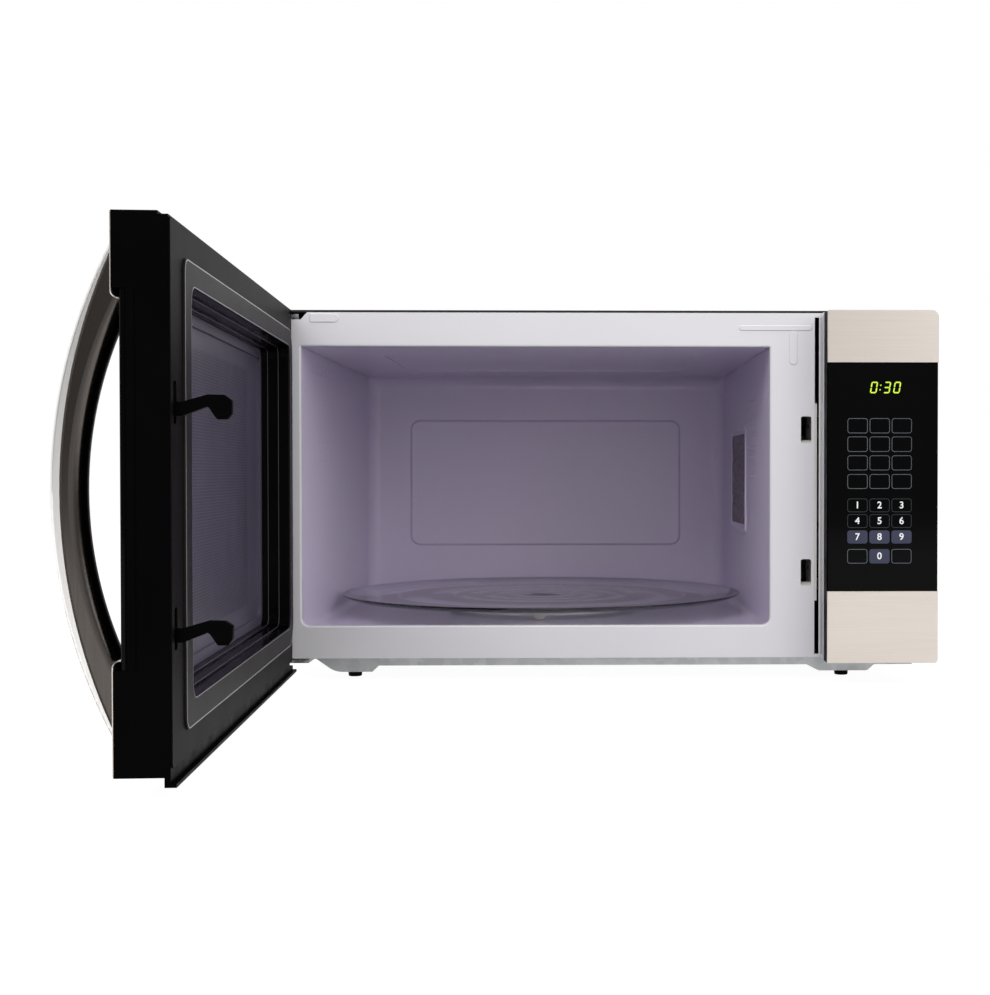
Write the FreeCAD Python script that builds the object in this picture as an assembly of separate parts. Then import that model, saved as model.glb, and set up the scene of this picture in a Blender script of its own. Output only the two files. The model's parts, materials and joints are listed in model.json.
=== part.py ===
"""Countertop microwave oven with a side-hinged door, shown with its door standing open.

Millimetres.  X runs to the right across the front, Y runs into the oven, Z is up.  The origin is the
centre of the four feet, on the plane they stand on.  Door pieces are modelled with the door shut, on
the hinge pin's own axes (S along the door, N into the oven), and are then hung at the open angle.
"""
import FreeCAD
import Part
import math
import os

V = FreeCAD.Vector

# ---- whole oven -----------------------------------------------------------------------------------
BODY_WIDTH = 607.0          # over the cabinet sides
BODY_DEPTH = 457.0          # front frame face to back panel face
SHEET = 1.0                 # frame, cavity, base and back sheet
WRAP_SHEET = 1.0            # outer cabinet sheet, doubled at its front hem
WRAP_HEM = 8.0              # depth of the folded front hem
FIT_GAP = 0.1               # between the hem and the frame's flanges
JOINT_GAP = 0.3             # loose fit between pieces that are put together by hand

# ---- feet and base --------------------------------------------------------------------------------
FOOT_HEIGHT = 8.6
FOOT_R = 6.8
FOOT_TIP_R = 6.3
FOOT_BORE_R = 2.2           # recess for the foot's fixing screw
FOOT_BORE_DEPTH = 5.0
FOOT_STEM_R = 3.0
FOOT_SPACING_X = 461.0
FOOT_SPACING_Y = 367.0
PAD_DROP = 5.7              # pads hang this far under the base tub
TUB_DROP = 6.5              # the tub hangs this far under the base flange
PAD_LENGTH = 72.0
BASE_SETBACK = 6.5          # base front wall behind the frame's face
TUB_LEFT = 41.5             # tub's left end in from the cabinet side
TUB_RIGHT = 8.0
TUB_SLOPE = 12.0

# ---- front frame and cavity -----------------------------------------------------------------------
FRAME_HEIGHT = 316.4
DOOR_FRAME_RIGHT = 499.2    # frame field behind the door, from its left edge
FRAME_FLANGE = 14.0
OPENING_WIDTH = 428.9
HEADER_HEIGHT = 31.2        # frame's top above the opening
OPENING_LEFT = 29.0         # opening from the frame's left edge
SILL_HEIGHT = 29.9          # opening's bottom above the frame's bottom
OPENING_R = 7.0
LIP_DEPTH = 6.0
LIP_R = 2.0
FLOOR_DROP = 6.7            # cavity floor under the sill
BACK_SPACE = 13.8           # cavity's back to the back panel
BACK_PAN_DEPTH = 25.0
PAN_R = 14.0
CAVITY_R = 7.0
BEAD_HEIGHT = 0.8
SEAM_DASH = 24.0
SEAM_PITCH = 36.0
SEAM_WIDTH = 1.2

# ---- door -----------------------------------------------------------------------------------------
DOOR_OPEN_DEG = 87.0
DOOR_WIDTH = 505.3
DOOR_BOTTOM = 16.3
DOOR_OVER = 1.0             # door's top above the cabinet's
DOOR_TOP_STEP = 2.0         # the top drops this much near its inner edge
PIN_IN = 11.1               # pin axis in from the door's hinge edge
PIN_FORWARD = 16.0          # pin axis in front of the frame's face
PIN_R = 3.0
PIN_RUN = 0.06              # running clearance on the pins
COVER_GAP = 0.5             # inner cover to the frame, door shut
COVER_RAISE = 1.4           # inner cover proud of the door's metal face
DOOR_FACE_T = 34.1          # metal face to the front of the steel caps
GLASS_T = 3.0
GLASS_BACK = 12.2           # glass back face in front of the pin axis
GLASS_CLEAR = 0.15          # caps and grip stop this far in front of the glass
CAP_T = 0.8
CAP_MARGIN = 0.5            # steel caps stop this far short of the free edge
CAP_EDGE = 0.5              # fine rounding of the caps' outer edges
CAP_ROLL = 4.2              # the caps roll in towards the glass at their split ends
CAP_TOP_HEIGHT = 50.3       # upper steel cap, from the door's top
CAP_SPLIT_BOTTOM = 84.0
GLASS_TUCK = 6.0
NOSE_CLEAR = 0.5
CORNER_R = 6.0
POCKET_S0 = 12.0
POCKET_S1 = 450.0
POCKET_Z0 = 36.0
POCKET_UNDER = 19.3         # pocket's top under the door's top
COVER_S0 = 3.0
COVER_S1 = 461.0
COVER_Z0 = 37.0
COVER_UNDER = 21.3
COVER_R_HINGE = 22.0
COVER_R_FREE = 9.0
WINDOW_S0 = 18.0
WINDOW_S1 = 442.0
WINDOW_Z0 = 54.0
WINDOW_UNDER = 36.8
WINDOW_R = 10.0
WINDOW_STEP = 1.9           # each step of the surround stands in by this much
WINDOW_STEP_DEPTHS = (9.0, 18.0)
SCREEN_DEPTH = 25.4         # screen's face under the metal face
SCREEN_T = 0.6
SCREEN_BORDER = 7.6
SCREEN_RISE = 2.2
RIB_N = 9.5                 # bottom rib, between here and the metal face
LIP_Z = 10.6                # underside of the door's bottom lip
LIP_T = 2.2
LIP_OUT = 16.4              # lip's reach behind the pin axis
EDGE_GROOVES = (-11.3, -5.9)

# ---- handle ---------------------------------------------------------------------------------------
HANDLE_IN = 28.0            # handle's centre in from the door's free edge
HANDLE_MID_Z = 181.2
HANDLE_HALF = 146.0         # half the outer strip's length
HANDLE_OUT = 38.7           # outer strip's reach from the steel caps
HANDLE_END = 3.0            # strip's height at its ends
STRIP_MID_T = 5.7
STRIP_END_T = 2.6
GRIP_HALF = 96.0            # half the length of the finger gap
GRIP_GAP = 19.7             # finger gap at its middle, from the caps' plane
STRIP_W = 24.0
GRIP_W = 20.0
GRIP_ROUND = 9.0
HANDLE_SCREW_REACH = 124.0

# ---- latch ----------------------------------------------------------------------------------------
LATCH_S = 482.0
HOOK_T = 4.4
HOOK_LOW_Z = 100.0          # middle of the lower hook's slots
HOOK_PITCH = 131.4
SLOT_W = 9.6
SLOT_H = 24.2
DOOR_SLOT_W = 7.8
DOOR_SLOT_H = 25.0
CATCH_TOP = 9.6             # catch's top under the middle of its slot
CATCH_NEAR = 8.0            # catch's start, from the door's metal face
CATCH_FAR = 20.5
LATCH_PLAY = 0.5
LATCH_DROP = 3.5
SPRING_R = 3.0
SPRING_WIRE = 0.8
SPRING_TURNS = 7
SPRING_STEPS = 12           # flats per turn of the coil
WIRE_SIDES = 8
LATCH_BAR_N0 = 0.5
LATCH_BAR_N1 = 12.5
SPRING_N = 6.5
BAR_PAST = 14.0             # hook bar's reach past each hook's middle
SPRING_ROOM = 42.0          # roof of the spring's chamber above the upper hook

# ---- hinge ----------------------------------------------------------------------------------------
ARM_T = 3.2
ARM_R = 7.5
ARM_UNDER = 1.6             # upper bracket's arm under the frame's top
ARM_GAP = 0.5
PIN_LENGTH = 11.0

# ---- control panel --------------------------------------------------------------------------------
PANEL_WIDTH = 99.9
PANEL_Z0 = 20.6
PANEL_UNDER = 0.8           # panel's top under the frame's top
PANEL_T = 36.0              # panel front in front of the frame's face
TRIM_TOP_HEIGHT = 47.1
TRIM_BOTTOM_HEIGHT = 64.9
PANEL_GLASS_T = 2.0
PANEL_WALL = 2.0
PANEL_R = 6.5
DISPLAY_W = 44.0
DISPLAY_H = 22.0
DISPLAY_UNDER = 22.3        # display's middle under the glass's top
DISPLAY_IN = 52.0           # display's middle in from the panel's inner side
KEYS_IN_LEFT = 14.0         # membrane's margins inside the glass
KEYS_IN_RIGHT = 18.0
KEYS_OVER = 16.5
KEYS_UNDER = 46.3
BOARD_IN = 10.5
BOARD_DOWN = 23.5           # board's lower end under the glass
BOARD_UP = 7.7
BOARD_T = 1.6
BOARD_BACK = 14.0           # board behind the panel's front

# ---- turntable ------------------------------------------------------------------------------------
TRAY_R = 209.5
TRAY_T = 5.0
TRAY_LIFT = 13.0            # tray's underside above the cavity floor
TRAY_RIM = 8.5
WHEEL_R = 6.42
WHEEL_T = 6.0
WHEEL_TRACK = 102.0
AXLE_R = 1.8
RING_R = 94.0
RING_T = 7.0
RING_H = 5.0
HUB_R = 14.0
HUB_HOLE_R = 9.0
SHAFT_R = 4.0
MOTOR_R = 24.5
MOTOR_H = 19.0

# ---- inside the right-hand compartment -------------------------------------------------------------
GUIDE_W = 34.0              # waveguide depth
GUIDE_Y0 = -22.0
GUIDE_Y1 = 88.0
GUIDE_Z0 = 142.0
GUIDE_Z1 = 228.0
MICA_T = 0.8
TUBE_Y = 34.0
TUBE_Z = 185.0
TUBE_W = 78.0
TUBE_H = 92.0
TUBE_D = 62.0
FAN_X = 232.0
FAN_Z = 188.0
FAN_R = 50.0
FAN_SPACE = 32.5            # fan's middle in front of the back panel
FAN_SHAFT_R = 2.5
IRON_X = 214.0
IRON_Y = -96.0
CAP_CAN_X = 252.0
CAP_CAN_Y = 92.0
LAMP_Y = -90.0
LAMP_UNDER = 80.0           # lamp's middle under the opening's top
LAMP_CLEAR = 3.2            # bulb's tip behind the cavity wall
LAMP_DEPTH = 33.8           # the lamp's end behind the cavity wall
LAMP_CAP_R = 6.0
BULB_R = 8.0
BULB_LENGTH = 18.0
BULB_ROUND = 3.5

# ---- places worked out from the sizes ---------------------------------------------------------------
HALF_W = BODY_WIDTH / 2
FRONT = -BODY_DEPTH / 2
BACK = BODY_DEPTH / 2
PAD_Z = FOOT_HEIGHT
TUB_Z = PAD_Z + PAD_DROP
RIM_Z = TUB_Z + TUB_DROP                    # underside of the base flange
FRAME_Z0 = RIM_Z + SHEET
FRAME_Z1 = FRAME_Z0 + FRAME_HEIGHT
CASE_TOP = FRAME_Z1 + FIT_GAP + 2 * WRAP_SHEET
DOOR_TOP = CASE_TOP + DOOR_OVER
FRAME_X0 = -HALF_W + 2 * WRAP_SHEET + FIT_GAP
FRAME_X1 = HALF_W - 2 * WRAP_SHEET - FIT_GAP
FIELD_X1 = FRAME_X0 + DOOR_FRAME_RIGHT
OPEN_X0 = FRAME_X0 + OPENING_LEFT
OPEN_X1 = OPEN_X0 + OPENING_WIDTH
OPEN_Z0 = FRAME_Z0 + SILL_HEIGHT
OPEN_Z1 = FRAME_Z1 - HEADER_HEIGHT
FLOOR_Z = OPEN_Z0 - FLOOR_DROP
CAVITY_Y0 = FRONT + LIP_DEPTH
CAVITY_Y1 = BACK - BACK_SPACE
PAN_Y0 = CAVITY_Y1 - BACK_PAN_DEPTH
PANEL_Z1 = FRAME_Z1 - PANEL_UNDER
PANEL_SPLIT_TOP = PANEL_Z1 - TRIM_TOP_HEIGHT
PANEL_SPLIT_BOTTOM = PANEL_Z0 + TRIM_BOTTOM_HEIGHT
PANEL_X1 = HALF_W
PANEL_X0 = PANEL_X1 - PANEL_WIDTH
PANEL_Y = FRONT - PANEL_T
DISPLAY_X = PANEL_X0 + DISPLAY_IN
DISPLAY_Z = PANEL_SPLIT_TOP - DISPLAY_UNDER
KEY_X0 = PANEL_X0 + KEYS_IN_LEFT
KEY_X1 = PANEL_X1 - KEYS_IN_RIGHT
KEY_Z0 = PANEL_SPLIT_BOTTOM + KEYS_OVER
KEY_Z1 = PANEL_SPLIT_TOP - KEYS_UNDER
BOARD_X0 = PANEL_X0 + BOARD_IN
BOARD_X1 = PANEL_X1 - BOARD_IN
BOARD_Z0 = PANEL_SPLIT_BOTTOM - BOARD_DOWN
BOARD_Z1 = PANEL_SPLIT_TOP + BOARD_UP
PIN_X = -HALF_W + PIN_IN
PIN_Y = FRONT - PIN_FORWARD
FACE_N = PIN_FORWARD - COVER_GAP - COVER_RAISE      # door's metal face behind the pin axis
PAN_N = FACE_N - SHEET
COVER_N = FACE_N + COVER_RAISE
CAP_N = FACE_N - DOOR_FACE_T
DOOR_S0 = -PIN_IN
DOOR_S1 = DOOR_WIDTH - PIN_IN
CAP_SPLIT_TOP = DOOR_TOP - CAP_TOP_HEIGHT
POCKET_Z1 = DOOR_TOP - POCKET_UNDER
COVER_Z1 = DOOR_TOP - COVER_UNDER
WINDOW_Z1 = DOOR_TOP - WINDOW_UNDER
GLASS_N = -GLASS_BACK - GLASS_T
SCREEN_N = FACE_N - SCREEN_DEPTH
HANDLE_S = DOOR_S1 - HANDLE_IN
GAP_R = (GRIP_HALF ** 2 + GRIP_GAP ** 2) / (2 * GRIP_GAP)    # radius of the finger gap's arc
GAP_DEEP = GRIP_GAP + GLASS_N - CAP_N       # finger gap at its middle, from the glass
GAP_HALF = math.sqrt(GAP_DEEP * (2 * GAP_R - GAP_DEEP))
HOOK_HIGH_Z = HOOK_LOW_Z + HOOK_PITCH
HOOK_X = PIN_X + LATCH_S
LATCH_ROOF = HOOK_HIGH_Z + SPRING_ROOM
SWITCH_Z = (HOOK_LOW_Z + 2, HOOK_HIGH_Z - 14, HOOK_HIGH_Z + 4)
HANDLE_SCREW_Z = (HANDLE_MID_Z - HANDLE_SCREW_REACH, HANDLE_MID_Z + HANDLE_SCREW_REACH)
TRAY_X = (OPEN_X0 + OPEN_X1) / 2
TRAY_Y = (CAVITY_Y0 + CAVITY_Y1) / 2 - 5.0
TRAY_Z = FLOOR_Z + TRAY_LIFT
WHEEL_Z = FLOOR_Z + TRAY_LIFT / 2
WALL_X = OPEN_X1 + SHEET                    # outer face of the cavity's right wall
BASE_FLOOR = TUB_Z + SHEET
LOW_ARM_Z = RIM_Z - ARM_T
LOW_PIN_TOP = RIM_Z + PIN_LENGTH
ARM_Z_TOP = FRAME_Z1 - ARM_UNDER
HIGH_PIN_LOW = ARM_Z_TOP - ARM_T - PIN_LENGTH
LAMP_Z = OPEN_Z1 - LAMP_UNDER
FAN_Y = BACK - FAN_SPACE


# ---- drawing helpers --------------------------------------------------------------------------------
def box(x0, x1, y0, y1, z0, z1):
    """A block between two corners."""
    return Part.makeBox(x1 - x0, y1 - y0, z1 - z0, V(x0, y0, z0))


def rod(radius, start, end):
    """A round bar from one point to another."""
    a, b = V(*start), V(*end)
    return Part.makeCylinder(radius, (b - a).Length, a, b - a)


PLANES = {
    "xy": (lambda p: V(p.x, p.y, 0), V(0, 0, 1)),
    "xz": (lambda p: V(p.x, 0, p.y), V(0, 1, 0)),
    "yz": (lambda p: V(0, p.x, p.y), V(1, 0, 0)),
}


def loop(points, radii, plane="xy"):
    """A closed outline in a main plane, with each corner rounded by its radius."""
    lift = PLANES[plane][0]
    n = len(points)
    if not isinstance(radii, (list, tuple)):
        radii = [radii] * n
    ends = []
    for i, r in enumerate(radii):
        p, a, b = V(*points[i], 0), V(*points[i - 1], 0), V(*points[(i + 1) % n], 0)
        u, w = (a - p).normalize(), (b - p).normalize()
        half = u.getAngle(w) / 2
        if r <= 0:
            ends.append((p, None, p))
            continue
        reach = r / math.tan(half)
        middle = p + (u + w).normalize() * (r / math.sin(half) - r)
        ends.append((p + u * reach, middle, p + w * reach))
    edges = []
    for i in range(n):
        start, mid, stop = ends[i]
        if mid is not None:
            edges.append(Part.Arc(lift(start), lift(mid), lift(stop)).toShape())
        nxt = ends[(i + 1) % n][0]
        if stop.distanceToPoint(nxt) > 1e-6:
            edges.append(Part.LineSegment(lift(stop), lift(nxt)).toShape())
    return Part.Wire(edges)


def slab(points, plane, lo, hi, radii=0.0):
    """A prism on an outline drawn in one of the main planes."""
    face = Part.Face(loop(points, radii, plane))
    along = PLANES[plane][1]
    face.translate(along * lo)
    return face.extrude(along * (hi - lo))


def rect(a0, a1, b0, b1):
    """The corners of a rectangle, from the low corner round."""
    return [(a0, b0), (a1, b0), (a1, b1), (a0, b1)]


def fuse(first, *others):
    """One clean solid from pieces that touch."""
    whole = first.fuse(list(others)) if others else first
    return whole.removeSplitter()


def turned(profile, centre):
    """A solid of revolution about a vertical axis, from radius and height pairs."""
    wire = Part.makePolygon([V(r, 0, z) for r, z in profile + profile[:1]])
    solid = Part.Face(wire).revolve(V(0, 0, 0), V(0, 0, 1), 360)
    solid.translate(V(centre[0], centre[1], 0))
    return solid


def grid(count_a, count_b, pitch_a, pitch_b, centre_a, centre_b):
    """The middles of a regular pattern about a centre."""
    return [(centre_a + (i - (count_a - 1) / 2) * pitch_a, centre_b + (j - (count_b - 1) / 2) * pitch_b)
            for i in range(count_a) for j in range(count_b)]


def hexagon(a, b, r):
    """A small six-sided perforation's outline."""
    return [(a + r * math.cos(math.radians(60 * i)), b + r * math.sin(math.radians(60 * i))) for i in range(6)]


def slot(a, b, length, width, plane, lo, hi, upright=False):
    """A round-ended slot."""
    da, db = (width / 2, length / 2) if upright else (length / 2, width / 2)
    return slab(rect(a - da, a + da, b - db, b + db), plane, lo, hi, 0.49 * width)


def rounded(solid, radius, keep):
    """The solid with the chosen edges rounded."""
    return solid.makeFillet(radius, [e for e in solid.Edges if keep(e)])


def flat_at(edge, axis, value, tol=1e-4):
    """Does an edge lie in the plane where one coordinate has this value?"""
    b = edge.BoundBox
    lo, hi = {"x": (b.XMin, b.XMax), "y": (b.YMin, b.YMax), "z": (b.ZMin, b.ZMax)}[axis]
    return abs(lo - value) < tol and abs(hi - value) < tol


def hang(solid):
    """A door piece moved from the pin's own axes to the open door."""
    placed = solid.copy()
    placed.rotate(V(0, 0, 0), V(0, 0, 1), -DOOR_OPEN_DEG)
    placed.translate(V(PIN_X, PIN_Y, 0))
    return placed


# ---- cabinet ----------------------------------------------------------------------------------------
def opening_outline(grow=0.0):
    """The cavity opening's outline: square at the top, rounded at the bottom."""
    pts = rect(OPEN_X0 - grow, OPEN_X1 + grow, OPEN_Z0 - grow, OPEN_Z1 + grow)
    return pts, [OPENING_R + grow, OPENING_R + grow, 0.6 + grow, 0.6 + grow]


def front_frame():
    """Pressed front frame: flanges all round, a rolled lip round the opening, stiffening beads."""
    y1 = FRONT + SHEET
    body = box(FRAME_X0, FRAME_X1, FRONT, FRONT + FRAME_FLANGE, FRAME_Z0, FRAME_Z1)
    body = body.cut(box(FRAME_X0 + SHEET, FRAME_X1 - SHEET, y1, BACK, FRAME_Z0 + SHEET, FRAME_Z1 - SHEET))
    pts, radii = opening_outline(LIP_R + SHEET)
    collar = slab(pts, "xz", FRONT, FRONT + LIP_DEPTH, radii)
    pts, radii = opening_outline()
    hole = slab(pts, "xz", FRONT - 5, BACK, radii)
    collar = collar.cut(hole)
    front_edges = [e for e in collar.Edges if flat_at(e, "y", FRONT) and within_opening(e)]
    collar = collar.makeFillet(LIP_R, front_edges)
    pts, radii = opening_outline(SHEET)
    inner = slab(pts, "xz", y1, BACK, radii)
    outer_pts, outer_radii = opening_outline(LIP_R + 4 * SHEET)
    moat = slab(outer_pts, "xz", y1, BACK, outer_radii).cut(inner)
    pts, radii = opening_outline(LIP_R + 0.5 * SHEET)
    body = body.cut(slab(pts, "xz", FRONT - 5, BACK, radii))
    body = body.fuse(collar.cut(moat))
    cuts = [slab([(FRAME_X0 - 2, ARM_Z_TOP - ARM_T - 1.8), (OPEN_X0 - 0.2, ARM_Z_TOP - ARM_T - 1.8),
                  (OPEN_X0 + 6.6, FRAME_Z1 + 1), (FRAME_X0 - 2, FRAME_Z1 + 1)], "xz", FRONT - 2, FRONT + FRAME_FLANGE + 1,
                 [0, 1.5, 0, 0])]
    for z in (HOOK_LOW_Z, HOOK_HIGH_Z):
        cuts.append(slab(rect(HOOK_X + 0.4 - SLOT_W / 2, HOOK_X + 0.4 + SLOT_W / 2, z - SLOT_H / 2, z + SLOT_H / 2),
                         "xz", FRONT - 2, y1 + 1, 2.0))
    cuts.append(box(FIELD_X1, FIELD_X1 + 4.0, FRONT - 2, y1 + 1, FRAME_Z0 + 3, FRAME_Z1 - 4))
    cuts.append(slab(rect(PANEL_X0 + 9, FRAME_X1 - 9, FRAME_Z0 + 18, FRAME_Z1 - 18), "xz", FRONT - 2, y1 + 1, 4.0))
    body = body.cut(cuts)
    beads = [slab(rect(OPEN_X0 + 8, OPEN_X0 + 34.6, FRAME_Z1 - 9.2, FRAME_Z1 - 1.2), "xz", FRONT - BEAD_HEIGHT, y1, [1, 3.9, 3.9, 1]),
             slot(OPEN_X1 + 5.2, FRAME_Z1 - 13.7, 67.2, 5.0, "xz", FRONT - BEAD_HEIGHT, y1),
             slot(OPEN_X1 + 21.6, FRAME_Z1 - 32, 31.2, 7.6, "xz", FRONT - BEAD_HEIGHT, y1, upright=True)]
    beads = [b.makeChamfer(0.6, [e for e in b.Edges if flat_at(e, "y", FRONT - BEAD_HEIGHT)]) for b in beads]
    wing = box(PANEL_X0 - SHEET, PANEL_X0, FRONT - PANEL_T / 2, y1, FRAME_Z0 + 0.8, FRAME_Z1 - 1.2)
    return fuse(body, *beads, wing)


def within_opening(edge):
    """Is an edge on the opening's own outline, not on the collar's outside?"""
    b = edge.BoundBox
    return b.XMin > OPEN_X0 - 0.5 and b.XMax < OPEN_X1 + 0.5 and b.ZMin > OPEN_Z0 - 0.5 and b.ZMax < OPEN_Z1 + 0.5


def cavity_shell():
    """Left wall, floor and right wall in one bent sheet, with the sill's riser and side flanges."""
    low, high = FLOOR_Z, OPEN_Z1
    outer = slab(rect(OPEN_X0 - SHEET, OPEN_X1 + SHEET, low - SHEET, high), "xz", CAVITY_Y0, PAN_Y0,
                 [CAVITY_R + SHEET, CAVITY_R + SHEET, 0, 0])
    inner = slab(rect(OPEN_X0, OPEN_X1, low, high + 5), "xz", CAVITY_Y0 - 5, PAN_Y0 + 5, [CAVITY_R, CAVITY_R, 0, 0])
    shell = outer.cut(inner)
    riser = slab(rect(OPEN_X0 - SHEET, OPEN_X1 + SHEET, low - SHEET, OPEN_Z0 + OPENING_R), "xz",
                 CAVITY_Y0, CAVITY_Y0 + SHEET, [CAVITY_R + SHEET, CAVITY_R + SHEET, 0, 0])
    pts, radii = opening_outline()
    riser = riser.cut(slab(pts, "xz", FRONT, BACK, radii))
    wings = [box(OPEN_X0 - 9, OPEN_X0 - SHEET, CAVITY_Y0, PAN_Y0, high - SHEET, high),
             box(OPEN_X1 + SHEET, OPEN_X1 + 9, CAVITY_Y0, PAN_Y0, high - SHEET, high)]
    border = slab(rect(GUIDE_Y0 - 14, GUIDE_Y1 + 20, GUIDE_Z0 - 14, GUIDE_Z1 + 14), "yz", OPEN_X1 - 1.2, OPEN_X1 + 0.5, 8.0)
    border = border.cut(slab(rect(GUIDE_Y0 - 9, GUIDE_Y1 + 15, GUIDE_Z0 - 9, GUIDE_Z1 + 9), "yz", OPEN_X1 - 3, OPEN_X1 + 3, 5.0))
    clips = [box(OPEN_X1 - MICA_T - 1.2, OPEN_X1, GUIDE_Y1 + 6.4, GUIDE_Y1 + 9.4, z - 5, z + 5) for z in (GUIDE_Z0 + 20, GUIDE_Z1 - 20)]
    shell = fuse(shell, riser, *wings, border, *clips)
    cuts = [rod(HUB_HOLE_R, (TRAY_X, TRAY_Y, low - 3), (TRAY_X, TRAY_Y, low + 3)),
            slab(rect(GUIDE_Y0 + 8, GUIDE_Y1 - 8, GUIDE_Z0 + 8, GUIDE_Z1 - 8), "yz", OPEN_X1 - 4, WALL_X + 4, 4.0)]
    for y, z in grid(5, 9, 15.0, 9.5, LAMP_Y, LAMP_Z):
        cuts.append(slab(hexagon(y, z, 1.7), "yz", OPEN_X1 - 4, WALL_X + 4))
    for y, z in grid(6, 4, 12.0, 9.0, -106.0, OPEN_Z1 - 89.0) + grid(14, 2, 24.0, 7.0, -14.0, OPEN_Z1 - 16.0):
        cuts.append(slab(hexagon(y, z, 1.7), "yz", OPEN_X0 - 5, OPEN_X0 + 5))
    return shell.cut(cuts)


def cavity_back():
    """Deep-drawn back pan with generous corners and a raised centre panel."""
    outer = box(OPEN_X0 - SHEET, OPEN_X1 + SHEET, PAN_Y0, CAVITY_Y1 + SHEET, FLOOR_Z - SHEET, OPEN_Z1 + SHEET)
    outer = rounded(outer, PAN_R + SHEET, lambda e: flat_at(e, "y", CAVITY_Y1 + SHEET))
    inner = box(OPEN_X0, OPEN_X1, PAN_Y0 - PAN_R, CAVITY_Y1, FLOOR_Z, OPEN_Z1)
    inner = rounded(inner, PAN_R, lambda e: flat_at(e, "y", CAVITY_Y1))
    panel = slab(rect(OPEN_X0 + 50, OPEN_X1 - 52, FLOOR_Z + 59, OPEN_Z1 - 51), "xz", CAVITY_Y1 - 3, CAVITY_Y1 + SHEET, 12.0)
    panel = panel.makeChamfer(2.4, [e for e in panel.Edges if flat_at(e, "y", CAVITY_Y1 - 3)])
    dish = slab(rect(OPEN_X0 + 53, OPEN_X1 - 55, FLOOR_Z + 62, OPEN_Z1 - 54), "xz", CAVITY_Y1 - 2, CAVITY_Y1 + 5, 9.0)
    return fuse(outer.cut(inner), panel).cut(dish)


def cavity_ceiling():
    """Ceiling plate laid on the walls' flanges, with the row of short slits along each side."""
    plate = box(OPEN_X0 - 9, OPEN_X1 + 9, CAVITY_Y0, PAN_Y0, OPEN_Z1, OPEN_Z1 + SHEET)
    cuts = []
    count = int((PAN_Y0 - CAVITY_Y0) // SEAM_PITCH)
    for i in range(count):
        y = CAVITY_Y0 + 6 + i * SEAM_PITCH
        for x in (OPEN_X0 + 0.1, OPEN_X1 - SEAM_WIDTH - 0.1):
            cuts.append(box(x, x + SEAM_WIDTH, y, y + SEAM_DASH, OPEN_Z1 - 2, OPEN_Z1 + 2 * SHEET))
    rib = slab(rect(OPEN_X0 + 60, OPEN_X1 - 60, CAVITY_Y0 + 90, PAN_Y0 - 90), "xy", OPEN_Z1, OPEN_Z1 + SHEET + 1.5, 20.0)
    hollow = slab(rect(OPEN_X0 + 61, OPEN_X1 - 61, CAVITY_Y0 + 91, PAN_Y0 - 91), "xy", OPEN_Z1 - 1, OPEN_Z1 + 1.5, 19.0)
    return fuse(plate.cut(cuts), rib).cut(hollow)


def outer_cabinet():
    """Wrap-round outer cabinet: top and both sides in one sheet, hemmed at the front, with louvres."""
    outer = slab([(-HALF_W, RIM_Z), (HALF_W, RIM_Z), (HALF_W, CASE_TOP), (-HALF_W, CASE_TOP)], "xz", FRONT, BACK,
                 [0, 0, 2.0, 2.0])
    inner = slab([(-HALF_W + WRAP_SHEET, RIM_Z - 5), (HALF_W - WRAP_SHEET, RIM_Z - 5),
                  (HALF_W - WRAP_SHEET, CASE_TOP - WRAP_SHEET), (-HALF_W + WRAP_SHEET, CASE_TOP - WRAP_SHEET)],
                 "xz", FRONT - 5, BACK + 5, [0, 0, 1.0, 1.0])
    wrap = outer.cut(inner)
    hem = box(-HALF_W + WRAP_SHEET, HALF_W - WRAP_SHEET, FRONT, FRONT + WRAP_HEM, RIM_Z, CASE_TOP - WRAP_SHEET)
    hem = hem.cut(box(FRAME_X0 - FIT_GAP, FRAME_X1 + FIT_GAP, FRONT - 1, FRONT + WRAP_HEM + 1, RIM_Z - 1, FRAME_Z1 + FIT_GAP))
    cuts = []
    for y, z in grid(9, 3, 11.0, 34.0, BACK - 74, FLOOR_Z + 62):
        cuts.append(slab(rect(y - 1.6, y + 1.6, z - 12, z + 12), "yz", -HALF_W - 3, -HALF_W + 5))
    for y, z in grid(10, 2, 11.0, 34.0, -40.0, FLOOR_Z + 46):
        cuts.append(slab(rect(y - 1.6, y + 1.6, z - 12, z + 12), "yz", HALF_W - 5, HALF_W + 3))
    return fuse(wrap, hem).cut(cuts)


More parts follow.
